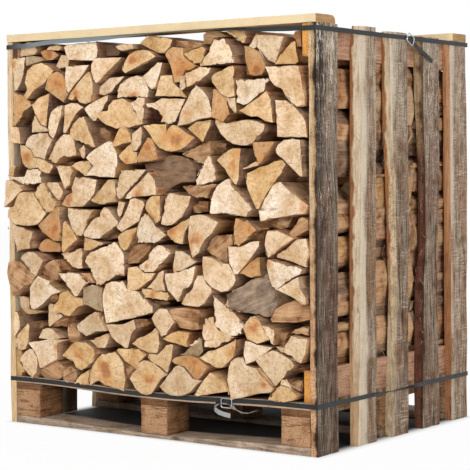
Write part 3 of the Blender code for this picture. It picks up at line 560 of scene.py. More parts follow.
def gaps_between(ends):
    """For each pair of ends side by side, how much farther out the left one can stand, in millimetres."""
    gaps = {}
    for level in LEVELS:
        spans = [(-math.inf, -WALL_X / MM, "wall")]
        for number, end in enumerate(ends):
            found = crossings(end["outline"], level)
            if found and not end["filler"]:
                spans.append((min(found), max(found), number))
        spans.append((WALL_X / MM, math.inf, "wall"))
        spans.sort(key=lambda span: span[0] + span[1])
        for (_, high, left), (next_low, _, right) in zip(spans, spans[1:]):
            slope = sight_slope((high if left != "wall" else next_low) * MM)
            room = next_low - high
            if "wall" not in (left, right):
                room = max(room, 0)
            gaps[left, right] = min(room / slope, gaps.get((left, right), math.inf))
    return gaps


def settle_stand_outs(ends):
    """How far each end stands out, eased until no split runs through the next one on its right."""
    outs = [end["out"] for end in ends]
    gaps = gaps_between(ends)
    rounds_to_settle = 80
    for _ in range(rounds_to_settle):
        for (left, right), room in gaps.items():
            left_out = 0 if left == "wall" else outs[left]
            right_out = 0 if right == "wall" else outs[right]
            excess = left_out - right_out - room
            if excess <= 0:
                continue
            if left == "wall":
                outs[right] += excess
            elif right == "wall":
                outs[left] -= excess
            else:
                outs[left] -= excess / 2
                outs[right] += excess / 2
        for number, end in enumerate(ends):
            if max(z for x, z in end["outline"]) * MM > BAND_BASE - 4 * MM:
                outs[number] = min(outs[number], BEHIND_BAND / MM)
    return outs


def seen_from_camera(x, z, out):
    """Where a point on the plane of the front goes, along the line of sight, when it stands out from it.

    Its x and z and how far it stands out are in millimetres, and the result is in metres.
    """
    rise = (camera_place.z - z * MM) / (FRONT_PLANE - camera_place.y)
    return Vector((x + out * sight_slope(x * MM), z + out * rise)) * MM


def read_ends(entries):
    """The entries of FRONT_ENDS as dictionaries, with their outlines in metres."""
    ends = []
    for kind, out, *points in entries:
        hearts = [point[1:] for point in points if point[0] == "heart"]
        outline = [point for point in points if point[0] != "heart"]
        # a dark piece deep in a gap may run behind its neighbours
        filler = out <= -18 and kind in ("side", "brown", "dark")
        ends.append({"kind": kind, "out": out, "outline": outline, "hearts": hearts, "filler": filler})
    for end, out in zip(ends, settle_stand_outs(ends)):
        end["front"] = -out * MM
        end["outline"] = [seen_from_camera(x, z, out) for x, z in end["outline"]]
        end["hearts"] = [(seen_from_camera(x, z, out), radius * MM) for x, z, radius in end["hearts"]]
    return ends


def bark_edges(outline):
    """For each side of an outline, whether it is a stretch of the log's round, which still has its bark."""
    count = len(outline)
    turns = []
    for k, corner in enumerate(outline):
        before = corner - outline[k - 1]
        after = outline[(k + 1) % count] - corner
        turns.append(0)
        if before.length and after.length:
            turns[k] = abs(math.degrees(before.angle_signed(after, 0)))
    gentle = [5 < turn < 48 for turn in turns]
    longest = 42 * MM
    return [
        gentle[k] and gentle[(k + 1) % count] and (outline[(k + 1) % count] - outline[k]).length < longest
        for k in range(count)
    ]


# what a split's mesh tells the wood's materials: its colours, the middle and the reach of its heart, how
# far it is turned, and where its rim is
LAYERS = {
    "tone": "float_color", "flank": "float_color", "pith": "float_vector",
    "heart": "float", "turn": "float", "rim": "float",
}
# the wood's materials, in their order on every row
SAWN, RIVEN, BARK = 0, 1, 2


def new_builder():
    """An empty bmesh with the layers that the wood's materials read."""
    builder = bmesh.new()
    for name, kind in LAYERS.items():
        getattr(builder.verts.layers, kind).new(name)
    return builder


def varied(colour, chance, spread):
    """A linear colour, a little lighter or darker and warmer or cooler."""
    value = 1 + chance.uniform(-spread, spread)
    warmth = chance.uniform(-spread, spread) * 0.45
    return [
        min(1, colour[0] * value * (1 + warmth)), min(1, colour[1] * value),
        min(1, colour[2] * value * (1 - warmth)), 1.0,
    ]


def split_ring(outline, barked, spacing, chance):
    """The points round a split: its corners, and between them points moved by splinters and chips."""
    middle = centre_of(outline)
    # the saw and the handling have worn every edge back a little, in millimetres
    worn = 0.9
    ring, ring_bark = [], []
    # about one end in five tore ragged when the saw came through
    ragged = chance.random() < 0.2
    spacing = spacing * 0.55 if ragged else spacing
    for k, corner in enumerate(outline):
        after = outline[(k + 1) % len(outline)]
        parts = max(1, round((after - corner).length / spacing))
        inward = (middle - (corner + after) / 2).normalized()
        for part in range(parts):
            point = corner.lerp(after, part / parts)
            if part:
                depth = chance.uniform(-0.7, 1.3) * (0.6 if barked[k] else 1.0)
                if not barked[k] and chance.random() < (0.45 if ragged else 0.09):
                    depth += chance.uniform(1.5, 4.5)
                point += inward * depth * MM
            ring.append(point + (middle - point).normalized() * worn * MM)
            ring_bark.append(barked[k])
    return middle, ring, ring_bark


def with_ridge(ring, ring_bark, ridge_point, across):
    """The ring with a point added wherever the ridge line crosses it."""
    made, made_bark = [], []
    for k, point in enumerate(ring):
        after = ring[(k + 1) % len(ring)]
        made.append(point)
        made_bark.append(ring_bark[k])
        here, there = across.dot(point - ridge_point), across.dot(after - ridge_point)
        if here * there < 0 and min(abs(here), abs(there)) > 0.5 * MM:
            made.append(point.lerp(after, here / (here - there)))
            made_bark.append(ring_bark[k])
    return made, made_bark


def ridged(ring, ring_bark, middle, turn, chance):
    """An askew split's ring with a ridge across it, and how far each of its points falls away from that.

    Such a split shows two riven faces that meet at a ridge along its fibres.
    """
    across = Vector((-math.sin(turn), math.cos(turn)))
    heights = [across.dot(point - middle) for point in ring]
    ridge_point = middle + across * chance.uniform(-0.35, 0.35) * max(heights)
    ring, ring_bark = with_ridge(ring, ring_bark, ridge_point, across)
    steep = chance.uniform(0.3, 0.75)
    falls = [min(abs(across.dot(point - ridge_point)) * steep, 16 * MM) for point in ring]
    ridge = {"plane_co": (ridge_point.x, 0, ridge_point.y), "plane_no": (across.x, 0, across.y)}
    return ring, ring_bark, falls, ridge


def hold_inside(shape, ring, front, seed):
    """Keeps a split within the walls, and within the side rails where it lies beside them.

    Only the thick of a split touches a wall: it falls away above, below and unevenly along.
    """
    levels = [point.y for point in ring]
    waist, half = (max(levels) + min(levels)) / 2, (max(levels) - min(levels)) / 2
    for vert in shape.verts:
        clear_of_rails = LOW_RAIL_TOP < vert.co.z < HIGH_RAIL_BASE or abs(vert.co.y) > PAST_RAILS
        wander = 0.5 + noise.noise(Vector((vert.co.y * 11, vert.co.z * 14, 0)) + seed)
        sag = 11 * MM * min(1, abs(vert.co.z - waist) / half) ** 2 + 11 * MM * max(0, wander)
        limit = WALL_X if clear_of_rails else RAIL_X
        limit -= sag * min(1, abs(vert.co.y - front) / (60 * MM)) + 0.3 * MM
        vert.co.x = max(-limit, min(limit, vert.co.x))


def add_split(row, end, front, back, chance, spacing, stations):
    """One split: its outline, sawn off at front, and its riven sides, which run a little crooked to back."""
    middle, ring, ring_bark = split_ring(end["outline"], bark_edges(end["outline"]), spacing, chance)
    sawn = {"sawn": SAWN, "riven": RIVEN, "bark": BARK}[END_KINDS[end["kind"]][1]]
    turn = chance.uniform(0, math.pi) if sawn == SAWN else chance.uniform(-0.6, 0.6)
    falls = [0.0] * len(ring)
    if sawn == RIVEN:
        ring, ring_bark, falls, ridge = ridged(ring, ring_bark, middle, turn, chance)
    shape = new_builder()
    layer = {name: getattr(shape.verts.layers, kind)[name] for name, kind in LAYERS.items()}
    place = shape.verts.layers.int.new("place")
    tilt = Vector((chance.gauss(0, 0.06), chance.gauss(0, 0.06)))
    verts = []
    inward = 1 if back > front else -1
    for k, point in enumerate(ring):
        # a point that lies deeper keeps its place in the camera's view of the front
        aside = falls[k] * sight_slope(point.x) if inward > 0 else 0.0
        depth = front + tilt.dot(point - middle) + inward * falls[k]
        vert = shape.verts.new((point.x - aside, depth, point.y))
        vert[place] = k
        verts.append(vert)
    region = shape.faces.new(verts)
    drift = Vector((chance.gauss(0, 4), chance.gauss(0, 4))) * MM
    swell = chance.uniform(1.0, 1.06)
    taper = chance.uniform(0.93, 1.03)
    seed = Vector((chance.uniform(0, 99), chance.uniform(0, 99), chance.uniform(0, 99)))
    for station in range(1, stations + 1):
        share = station / stations
        grown = bmesh.ops.extrude_face_region(shape, geom=[region])["geom"]
        region = next(g for g in grown if isinstance(g, bmesh.types.BMFace))
        scale = taper if station == stations else swell
        for vert in (g for g in grown if isinstance(g, bmesh.types.BMVert)):
            point = ring[vert[place]]
            moved = middle + (point - middle) * scale + drift * share
            rough = noise.noise_vector(Vector((point.x * 60, station * 0.9, point.y * 60)) + seed) * 2 * MM
            depth = front + (back - front) * share
            if station == stations:
                depth = back - tilt.dot(point - middle)
            vert.co = (moved.x + rough.x, depth, moved.y + rough.z)
    bmesh.ops.recalc_face_normals(shape, faces=shape.faces)
    caps = []
    for face in shape.faces:
        places = sorted({vert[place] for vert in face.verts})
        if len(places) > 2:
            face.material_index = sawn
            caps.append(face)
            continue
        first = places[1] if places == [0, len(ring) - 1] else places[0]
        face.material_index = BARK if ring_bark[first] else RIVEN
        face.smooth = ring_bark[first]
    for vert in shape.verts:
        vert[layer["rim"]] = 1.0
    inner = set()
    for face in caps:
        bmesh.ops.inset_region(
            shape, faces=[face], thickness=2.4 * MM, depth=0.8 * MM, use_even_offset=False,
            use_boundary=True,
        )
        inner.update(face.verts)
    for vert in inner:
        vert[layer["rim"]] = 0.0
    if sawn == RIVEN:
        near_cap = min(caps, key=lambda face: inward * face.calc_center_median().y)
        geometry = [near_cap] + near_cap.edges[:] + near_cap.verts[:]
        bmesh.ops.bisect_plane(shape, geom=geometry, dist=1.2 * MM, **ridge)
    hold_inside(shape, ring, front, seed)
    tone = varied(linear(END_KINDS[end["kind"]][0]), chance, 0.05)
    flank = varied(linear(chance.choice(FLANK_TONES)), chance, 0.16)
    if sawn != SAWN:
        flank = tone
    for vert in shape.verts:
        vert[layer["tone"]] = tone
        vert[layer["flank"]] = flank
        vert[layer["pith"]] = (end["pith"].x, 0, end["pith"].y)
        vert[layer["heart"]] = end["heart"]
        vert[layer["turn"]] = turn
    shape.verts.layers.int.remove(place)
    merge_into(row, shape)


def add_splinters(row, end, front, outward, chance):
    """Slivers that the saw tore loose along the edges of an end and left hanging by their fibres."""
    outline = end["outline"]
    layers = row.verts.layers
    for k, corner in enumerate(outline):
        after = outline[(k + 1) % len(outline)]
        if chance.random() > 0.3 or (after - corner).length < 18 * MM:
            continue
        along = (after - corner).normalized()
        middle = corner.lerp(after, chance.uniform(0.25, 0.75))
        length = chance.uniform(9, 24) * MM
        aim = Vector((along.x, outward * chance.uniform(-0.35, 0.1), along.y))
        spot = (middle.x, front + outward * chance.uniform(-1.5, 2.5) * MM, middle.y)
        sliver = add_sliver(row, spot, aim, length, chance.uniform(0.8, 1.7) * MM)
        tone = linear(chance.choice(SPLINTER_TONES))
        for vert in sliver:
            vert[layers.float_color["tone"]] = tone
            vert[layers.float_color["flank"]] = tone
            vert[layers.float_vector["pith"]] = (middle.x, 0, middle.y)


def find_pith(end, chance):
    """Where an end's growth rings have their middle, and how far its darker heart reaches."""
    if end["hearts"]:
        return end["hearts"][0]
    outline = end["outline"]
    middle = centre_of(outline)
    rounds = [corner for corner, barked in zip(outline, bark_edges(outline)) if barked]
    if rounds:
        far = middle + (middle - centre_of(rounds)) * chance.uniform(0.9, 1.6)
    else:
        angle = chance.uniform(0, 2 * math.pi)
        far = middle + Vector((math.cos(angle), math.sin(angle))) * chance.uniform(20, 60) * MM
    heart = chance.uniform(8, 18) * MM if chance.random() < 0.07 else 0.0
    return far, heart


def sawn_end_grain():
    """Dried end grain, sawn with a chain: pale sapwood, faint rings, fine drying cracks, a darker rim."""
    material, tree, place = new_material("chain-sawn end grain")
    read_from = {"tone": "Color", "pith": "Vector", "heart": "Fac", "turn": "Fac", "rim": "Fac"}
    tone, pith, heart, turn, rim = (
        add_node(tree, "Attribute", attribute_name=name).outputs[kind] for name, kind in read_from.items()
    )
    offset = add_node(tree, "VectorMath", {0: place, 1: pith}, operation="SUBTRACT").outputs[0]
    flat = add_node(tree, "VectorMath", {0: offset, 1: (1, 0, 1)}, operation="MULTIPLY").outputs[0]
    distance = add_node(tree, "VectorMath", {0: flat}, operation="LENGTH").outputs["Value"]
    # cloudy changes of colour, about 40 mm and 10 mm across: paler dry wood, and warmer damp wood
    clouds = add_node(tree, "TexNoise", {"Vector": place, "Scale": 24.0, "Detail": 3.0}).outputs[0]
    mottle = add_node(tree, "TexNoise", {"Vector": place, "Scale": 95.0, "Detail": 4.0}).outputs[0]
    dry = stained(tree, tone, clouds, 0.48, 0.66, 0.65, (1.22, 1.30, 1.42))
    damp = stained(tree, dry, clouds, 0.50, 0.32, 0.9, (0.84, 0.74, 0.59))
    spotted = stained(tree, damp, mottle, 0.50, 0.68, 0.85, (0.72, 0.65, 0.56))
    # pores and torn fibres, about 4 mm across
    pores = add_node(tree, "TexNoise", {"Vector": place, "Scale": 250.0, "Detail": 3.0}).outputs[0]
    pored = stained(tree, spotted, pores, 0.50, 0.66, 0.6, (0.66, 0.58, 0.49))
    # the wood is warmer near the pith and paler out towards the bark
    warmer = stained(tree, pored, distance, 0.070, 0.015, 0.6, (0.94, 0.90, 0.83))
    paler = stained(tree, warmer, distance, 0.045, 0.110, 0.8, (1.16, 1.22, 1.30))
    # growth rings are 2 to 4 mm wide; they are drawn 7 mm wide so that they show
    bent = add_node(tree, "Math", {0: mottle, 1: 0.016, 2: distance}, operation="MULTIPLY_ADD").outputs[0]
    phase = add_node(tree, "Math", {0: bent, 1: 2 * math.pi / (7 * MM)}, operation="MULTIPLY").outputs[0]
    wave = add_node(tree, "Math", {0: phase}, operation="SINE").outputs[0]
    ringed = stained(tree, paler, wave, 0.2, 1.0, 0.22, (0.78, 0.66, 0.52))
    # the heart: darker, orange-brown wood round the pith, in lobes and darkest at its core
    reach = add_node(tree, "Math", {0: heart, 1: 0.5 * MM}, operation="MAXIMUM").outputs[0]
    ratio = add_node(tree, "Math", {0: distance, 1: reach}, operation="DIVIDE").outputs[0]
    lobes = add_node(tree, "Math", {0: clouds, 1: 4.5, 2: ratio}, operation="MULTIPLY_ADD").outputs[0]
    wander = add_node(tree, "Math", {0: mottle, 1: 1.8, 2: lobes}, operation="MULTIPLY_ADD").outputs[0]
    soft = {0: wander, 1: 4.6, 2: 3.5, 3: 0.0, 4: 0.85}
    heart_share = add_node(tree, "MapRange", soft, interpolation_type="SMOOTHSTEP").outputs[0]
    core_share = add_node(tree, "MapRange", {0: wander, 1: 3.9, 2: 3.2}).outputs[0]
    heart_tones = {0: core_share, 6: "CC8F52", 7: "A0603A"}
    heart_tone = add_node(tree, "Mix", heart_tones, data_type="RGBA").outputs[2]
    rings = add_node(tree, "MapRange", {0: wave, 1: -0.6, 2: 0.9, 3: 1.0, 4: 0.75}).outputs[0]
    heart_part = add_node(tree, "Math", {0: heart_share, 1: rings}, operation="MULTIPLY").outputs[0]
    hearted = add_node(tree, "Mix", {0: heart_part, 6: ringed, 7: heart_tone}, data_type="RGBA").outputs[2]
    # the chain leaves faint scratches, 3 to 8 mm apart, in a direction of its own on each end
    rotation = {"Vector": place, "Angle": turn}
    turned = add_node(tree, "VectorRotate", rotation, rotation_type="Y_AXIS").outputs[0]
    chain = streaks(tree, turned, (16, 16, 230), 3.0)
    scratched = stained(tree, hearted, chain, 0.50, 0.70, 0.4, (0.72, 0.62, 0.50))
    # drying cracks run out from the pith: thin lines where a noise of the direction alone crosses 0.5
    direction = add_node(tree, "VectorMath", {0: flat}, operation="NORMALIZE").outputs[0]
    apart = add_node(tree, "VectorMath", {0: pith, 1: (31, 0, 17)}, operation="MULTIPLY").outputs[0]
    seeded = add_node(tree, "VectorMath", {0: direction, 1: apart}, operation="ADD").outputs[0]
    spread = add_node(tree, "TexNoise", {"Vector": seeded, "Scale": 5.0, "Detail": 2.0}).outputs[0]
    from_middle = add_node(tree, "Math", {0: spread, 1: 0.5}, operation="SUBTRACT").outputs[0]
    closeness = add_node(tree, "Math", {0: from_middle}, operation="ABSOLUTE").outputs[0]
    some = add_node(tree, "MapRange", {0: clouds, 1: 0.50, 2: 0.62}).outputs[0]
    cracked = stained(tree, scratched, closeness, 0.010, 0.0, 0.75, "5E3F28", held=some)
    edged = stained(tree, cracked, rim, 0.55, 1.0, 0.22, (0.55, 0.42, 0.30))
    relief = add_node(tree, "Math", {0: mottle, 1: 0.6, 2: chain}, operation="MULTIPLY_ADD").outputs[0]
    finish_surface(tree, edged, 0.82, 0.25, relief, 0.6, 1.5 * MM)
    return material


def split_fibres(tree, along, scales, askew_along, askew_scales, detail, roughness):
    """A noise drawn out along a split, and across the end of one that lies askew."""
    askew = add_node(tree, "Math", {0: facing(tree, 1), 1: 0.6}, operation="GREATER_THAN").outputs[0]
    lengthwise = add_node(tree, "Mapping", {"Vector": along, "Scale": scales}).outputs[0]
    crosswise = add_node(tree, "Mapping", {"Vector": askew_along, "Scale": askew_scales}).outputs[0]
    drawn = add_node(tree, "Mix", {0: askew, 4: lengthwise, 5: crosswise}, data_type="VECTOR").outputs[1]
    fibres = {"Vector": drawn, "Scale": 1.0, "Detail": detail, "Roughness": roughness}
    return add_node(tree, "TexNoise", fibres).outputs[0]


def riven_side_grain():
    """Side grain torn open by the wedge: long fibres, light where they lifted and brown between them."""
    material, tree, place = new_material("riven side grain")
    flank = add_node(tree, "Attribute", attribute_name="flank").outputs["Color"]
    turn = add_node(tree, "Attribute", attribute_name="turn").outputs["Fac"]
    # fibres are a few millimetres wide and about 100 mm long
    rotation = {"Vector": place, "Angle": turn}
    turned = add_node(tree, "VectorRotate", rotation, rotation_type="Y_AXIS").outputs[0]
    fibres = split_fibres(tree, place, (170, 8, 170), turned, (12, 60, 210), 5.0, 0.6)
    # stains and lighter stretches, about 40 mm across
    cloudy = {"Vector": place, "Scale": 26.0, "Detail": 5.0, "Roughness": 0.6}
    clouds = add_node(tree, "TexNoise", cloudy).outputs[0]
    darker = stained(tree, flank, fibres, 0.50, 0.34, 0.55, (0.34, 0.24, 0.17))
    lighter = stained(tree, darker, fibres, 0.54, 0.74, 0.4, "DCBE98")
    paler = stained(tree, lighter, clouds, 0.48, 0.32, 0.5, "DDBB93")
    clouded = stained(tree, paler, clouds, 0.52, 0.66, 0.9, (0.46, 0.35, 0.27))
    finish_surface(tree, clouded, 0.85, 0.2, fibres, 0.7, 2 * MM)
    return material


def hardwood_bark():
    """Thin brown-grey bark, cracked lengthwise into flakes and rubbed through to the brown bast in places."""
    material, tree, place = new_material("hardwood bark")
    # flakes are about 10 mm wide and 45 mm long
    flakes = split_fibres(tree, place, (110, 22, 110), place, (24, 60, 90), 6.0, 0.7)
    grime = add_node(tree, "TexNoise", {"Vector": place, "Scale": 34.0, "Detail": 5.0}).outputs[0]
    plate = add_node(tree, "Mix", {0: grime, 6: "5E4433", 7: "A08165"}, data_type="RGBA").outputs[2]
    cracked = stained(tree, plate, flakes, 0.48, 0.34, 0.65, "382619")
    rubbed = stained(tree, cracked, flakes, 0.55, 0.70, 0.7, "B08A66")
    lumps = add_node(tree, "Math", {0: flakes, 1: 0.8, 2: grime}, operation="MULTIPLY_ADD").outputs[0]
    finish_surface(tree, rubbed, 0.9, 0.2, lumps, 0.8, 3 * MM)
    return material


WOOD_MATERIALS = (sawn_end_grain(), riven_side_grain(), hardwood_bark())
# a row is cut into four pieces by height, each up to its own level in metres
COURSE_TOPS = (0.36, 0.61, 0.85, 2.0)
COURSE_NAMES = ("bottom", "lower", "upper", "top")


def joint_shift(middle):
    """How far the joint between two rows wanders back or forward at a place on the front."""
    return 15 * MM * noise.noise(Vector((middle.x * 9, 3.7, middle.y * 11)))


def build_row(row_name, ends, front_side, spacing, stations):
    """A row of splits as pieces: four bands of height, each in a left and a right half."""
    low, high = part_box(f"firewood_row_{row_name}")
    chance = random.Random(f"{row_name} row")
    pieces = {}
    for end in ends:
        end["pith"], end["heart"] = find_pith(end, chance)
        inside = min(chance.expovariate(1 / 7), 28) * MM
        middle = centre_of(end["outline"])
        if front_side:
            front, back = FRONT_PLANE + end["front"], high.y + joint_shift(middle) - inside
        else:
            front, back = -FRONT_PLANE - end["front"], low.y + joint_shift(middle) + inside
        course = next(k for k, top in enumerate(COURSE_TOPS) if middle.y < top)
        key = (course, "left" if middle.x < 0 else "right")
        add_split(pieces.setdefault(key, new_builder()), end, front, back, chance, spacing, stations)
        if row_name != "middle":
            add_splinters(pieces[key], end, front, 1 if front_side else -1, chance)
    for (course, half), builder in sorted(pieces.items()):
        piece = add_object(f"firewood_{row_name}_{COURSE_NAMES[course]}_{half}", builder, *WOOD_MATERIALS)
        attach(piece, "root")
        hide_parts(f"firewood_row_{row_name}")


front_ends = read_ends(FRONT_ENDS)
build_row("front", front_ends, True, 13 * MM, 4)

# ---- Firewood: the middle and back rows -----------------------------------------------------------
# Two more rows of hardwood splits behind the front one, of the same kind but laid in other orders. The
# rows only touch one another, and the back row shows its sawn ends at the back.


def relaid(ends, chance, flip_x, flip_z, level):
    """The layout of a row, mirrored, with its kinds of end dealt out anew."""
    def dealt_out(end):
        return not end["filler"] and END_KINDS[end["kind"]][1] == "sawn"

    plain = [end["kind"] for end in ends if dealt_out(end)]
    chance.shuffle(plain)
    made = []
    for end in ends:
        outline = [
            Vector((-point.x if flip_x else point.x, level - point.y if flip_z else point.y))
            for point in end["outline"]
        ]
        made.append({
            "kind": plain.pop() if dealt_out(end) else end["kind"], "outline": outline, "hearts": [],
            "filler": end["filler"], "front": end["front"] * 0.8 + chance.uniform(-4, 4) * MM,
        })
    return made


load_low, load_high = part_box("firewood_row_back")
back_chance = random.Random("back row order")
# the back row is turned over: what lies at a height z in the front one lies at turnover - z in it
turnover = load_low.z + load_high.z + 4 * MM
back_ends = relaid(front_ends, back_chance, False, True, turnover)
# splits pushed in last, into the voids that the others leave against the right-hand wall, in millimetres
BACK_PACKERS = [
    ("honey", (443, 722), (488, 712), (503, 700), (503, 641), (432, 692)),
    ("tan", (463, 992), (470, 1028), (500, 1030), (503, 986), (484, 988)),
    ("cream", (440, 603), (500, 618), (503, 600), (480, 602), (452, 575)),
    ("orange", (400, 337), (503, 338), (503, 324), (440, 326)),
    ("straw", (430, 493), (503, 478), (503, 466), (470, 478)),
    ("honey", (425, 801), (503, 807), (503, 785), (455, 783)),
    ("tan", (430, 993), (503, 995), (503, 975), (470, 971)),
    ("cream", (474, 879), (503, 880), (503, 846), (496, 847), (484, 864)),
]
for kind, *corners in BACK_PACKERS:
    packer = [Vector((x * MM, turnover - z * MM)) for x, z in corners]
    back_ends.append({"kind": kind, "outline": packer, "hearts": [], "filler": False, "front": 12 * MM})
build_row("back", back_ends, False, 13 * MM, 4)

middle_chance = random.Random("middle row order")
middle_ends = relaid(front_ends, middle_chance, True, False, 0)
middle_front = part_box("firewood_row_middle")[0].y - FRONT_PLANE
# these splits are drawn larger than they are and overlap, so that no light shows through the stack
OVERSIZE = 1.19
for middle_end in middle_ends:
    centre = centre_of(middle_end["outline"])
    middle_end["front"] = middle_front + joint_shift(centre) + middle_chance.uniform(1, 6) * MM
    middle_end["outline"] = [centre + (point - centre) * OVERSIZE for point in middle_end["outline"]]
build_row("middle", middle_ends, True, 30 * MM, 3)

# ---- Pallet ---------------------------------------------------------------------------------------
# A four-way block pallet: three skids, nine blocks, three stringers and five deck boards of softwood,
# rough from the band saw and greyed by weather, nailed together.

# the axes, as places in a vector
X, Y, Z = 0, 1, 2


def sawn_board_material(name, face, dark, light, end_colour, along, edge=None, soiling=0.5, cracked=0.6):
    """A weathered sawn board: dark and light grain along it, soiled in patches, its ends another colour."""
    material, tree, place = new_material(name)
    # grain lines are 3 to 6 mm apart and run 80 mm and more
    stretch = [190.0, 190.0, 190.0]
    stretch[along] = 12.0
    grain = streaks(tree, place, stretch, 6.0, 0.7)
    patches = add_node(tree, "TexNoise", {"Vector": place, "Scale": 22.0, "Detail": 5.0}).outputs[0]
    grit = add_node(tree, "TexNoise", {"Vector": place, "Scale": 230.0, "Detail": 3.0}).outputs[0]
    dark_share = add_node(tree, "MapRange", {0: grain, 1: 0.52, 2: 0.36, 3: 0.0, 4: 0.85}).outputs[0]
    darker = add_node(tree, "Mix", {0: dark_share, 6: face, 7: dark}, data_type="RGBA").outputs[2]
    lighter = stained(tree, darker, grain, 0.54, 0.70, 0.8, light)
    # the ends: darker latewood, and short level cracks
    cracks = streaks(tree, place, (26, 26, 210), 4.0)
    crack_share = add_node(tree, "MapRange", {0: cracks, 1: 0.54, 2: 0.64, 3: 0.0, 4: cracked}).outputs[0]
    streaked = {0: dark_share, 1: 0.4, 2: crack_share}
    end_share = add_node(tree, "Math", streaked, operation="MULTIPLY_ADD").outputs[0]
    end_tone = add_node(tree, "Mix", {0: end_share, 6: end_colour, 7: dark}, data_type="RGBA").outputs[2]
    colour = stained(tree, lighter, facing(tree, along), 0.6, 0.8, 1.0, end_tone)
    if edge:
        edge_tone = add_node(tree, "Mix", {0: grain, 6: edge[0], 7: edge[1]}, data_type="RGBA").outputs[2]
        colour = stained(tree, colour, facing(tree, Y), 0.5, 0.8, 0.85, edge_tone)
    soiled = stained(tree, colour, patches, 0.48, 0.68, soiling, (0.48, 0.38, 0.30))
    gritty = stained(tree, soiled, grit, 0.52, 0.66, soiling, (0.50, 0.42, 0.34))
    relief = add_node(tree, "Math", {0: grit, 1: 0.6, 2: grain}, operation="MULTIPLY_ADD").outputs[0]
    finish_surface(tree, gritty, 0.85, 0.2, relief, 0.7, 1.5 * MM)
    return material


def rough_shape(node, along, roughness, step, width_step):
    """The CAD piece's shape, cut into a grid and roughened as a saw leaves it."""
    shape = bmesh.new()
    shape.from_mesh(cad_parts[node].data)
    bmesh.ops.remove_doubles(shape, verts=shape.verts, dist=0.05 * MM)
    bmesh.ops.dissolve_limit(shape, angle_limit=math.radians(0.5), verts=shape.verts, edges=shape.edges)
    low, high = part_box(node)
    for axis in (X, Y, Z):
        spacing = step if axis == along else width_step
        parts = max(1, round((high[axis] - low[axis]) / spacing))
        across = Vector((axis == X, axis == Y, axis == Z))
        for cut in range(1, parts):
            bmesh.ops.bisect_plane(
                shape, geom=shape.verts[:] + shape.edges[:] + shape.faces[:], dist=0.05 * MM,
                plane_co=across * (low[axis] + (high[axis] - low[axis]) * cut / parts), plane_no=across,
            )
    shape.normal_update()
    stretch = Vector((34, 34, 34))
    stretch[along] = 6
    moves = {}
    for vert in shape.verts:
        point = Vector(a * b for a, b in zip(vert.co, stretch))
        moves[vert] = vert.normal * noise.noise(point) * roughness
    for vert, move in moves.items():
        vert.co += move
        for axis in (X, Y, Z):
            vert.co[axis] = max(low[axis] - 1 * MM, min(high[axis] + 1 * MM, vert.co[axis]))
        vert.co.z = max(vert.co.z, 0.0)
    return shape


def rough_boards(name, nodes, material, along, roughness, step=24 * MM, width_step=18 * MM):
    """One piece in place of one or more boards."""
    whole = bmesh.new()
    for node in nodes:
        merge_into(whole, rough_shape(node, along, roughness, step, width_step))
    piece = add_object(name, whole, material)
    piece.data.shade_smooth()
    piece.data.set_sharp_from_angle(angle=math.radians(35))
    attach(piece, "root")
    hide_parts(*nodes)


ROWS, COLUMNS = ("front", "middle", "back"), ("left", "centre", "right")
skid_wood = sawn_board_material(
    "weathered spruce, flat-sawn", "B09C88", "7A6250", "D0BEA8", "8A6A4C", X, soiling=0.7,
)
deck_wood = sawn_board_material(
    "weathered spruce deck", "8F7B68", "57453A", "C0AC92", "7C5E44", X, edge=("D8BBA0", "B08E78"),
)
block_wood = sawn_board_material(
    "rough-sawn spruce block", "8E6644", "5A3B28", "B4885F", "B68E6A", Y, soiling=0.8,
)
stringer_wood = sawn_board_material(
    "stringer spruce", "86664A", "4C3422", "A88460", "7C5738", Y, soiling=0.8,
)
skids = [f"skid_{row}" for row in ROWS]
rough_boards("skids_sawn", skids, skid_wood, X, 2.4 * MM, 16 * MM, 12 * MM)
for column in COLUMNS:
    for row in ROWS:
        node = f"block_{row}_{column}"
        rough_boards(f"{node}_sawn", [node], block_wood, Y, 1.6 * MM, 16 * MM, 16 * MM)
    node = f"stringer_{column}"
    rough_boards(f"{node}_sawn", [node], stringer_wood, Y, 1.0 * MM)
deck_boards = [f"deck_board_{number}" for number in range(1, 6)]
rough_boards("deck_boards_sawn", deck_boards, deck_wood, X, 1.2 * MM)

# ---- Sides: slats and side rails ------------------------------------------------------------------
# Slab boards from the outside of softwood logs, one edge or both still round and waney. Nailed
# upright to the rails and to the pallet.

# For each slat from the front: two weathered tones of its face, the dark and the pale streaks on them,
# the inner, outer and lower tones of its edges and how far up the lower tone goes, how much of its width
# is pale sapwood and how much is dark bark, how much bark fibre peels off it, how strong the saw marks
# are, and how dark its arris is.
SLAT_LOOKS = (
    ("7C6B5C", "73584A", "1F1815", "C6B9A6", "CDB28C", "B39470", "CBA27C", 0.4, 0.0, 0.34, 1.0, 0.15, 0.95),
    ("A59380", "95755C", "52412F", "DACAB3", "966440", "D4C1A4", "C4A27A", 0.2, 0.48, 0.0, 0.1, 0.25, 0.1),
    ("9A8876", "8E705A", "382E26", "DDCDB5", "A67044", "D2BC9C", "C4B090", 0.35, 0.26, 0.0, 0.3, 0.5, 0.25),
    ("95826F", "886854", "2C221D", "D2C4B4", "B09872", "A08464", "6A4332", 0.72, 0.0, 0.0, 0.75, 0.2, 0.7),
    ("B4A08C", "A6856C", "55473A", "D2C3AF", "C88E60", "CC9C74", "B27C56", 0.5, 0.16, 0.0, 0.15, 0.55, 0.1),
)


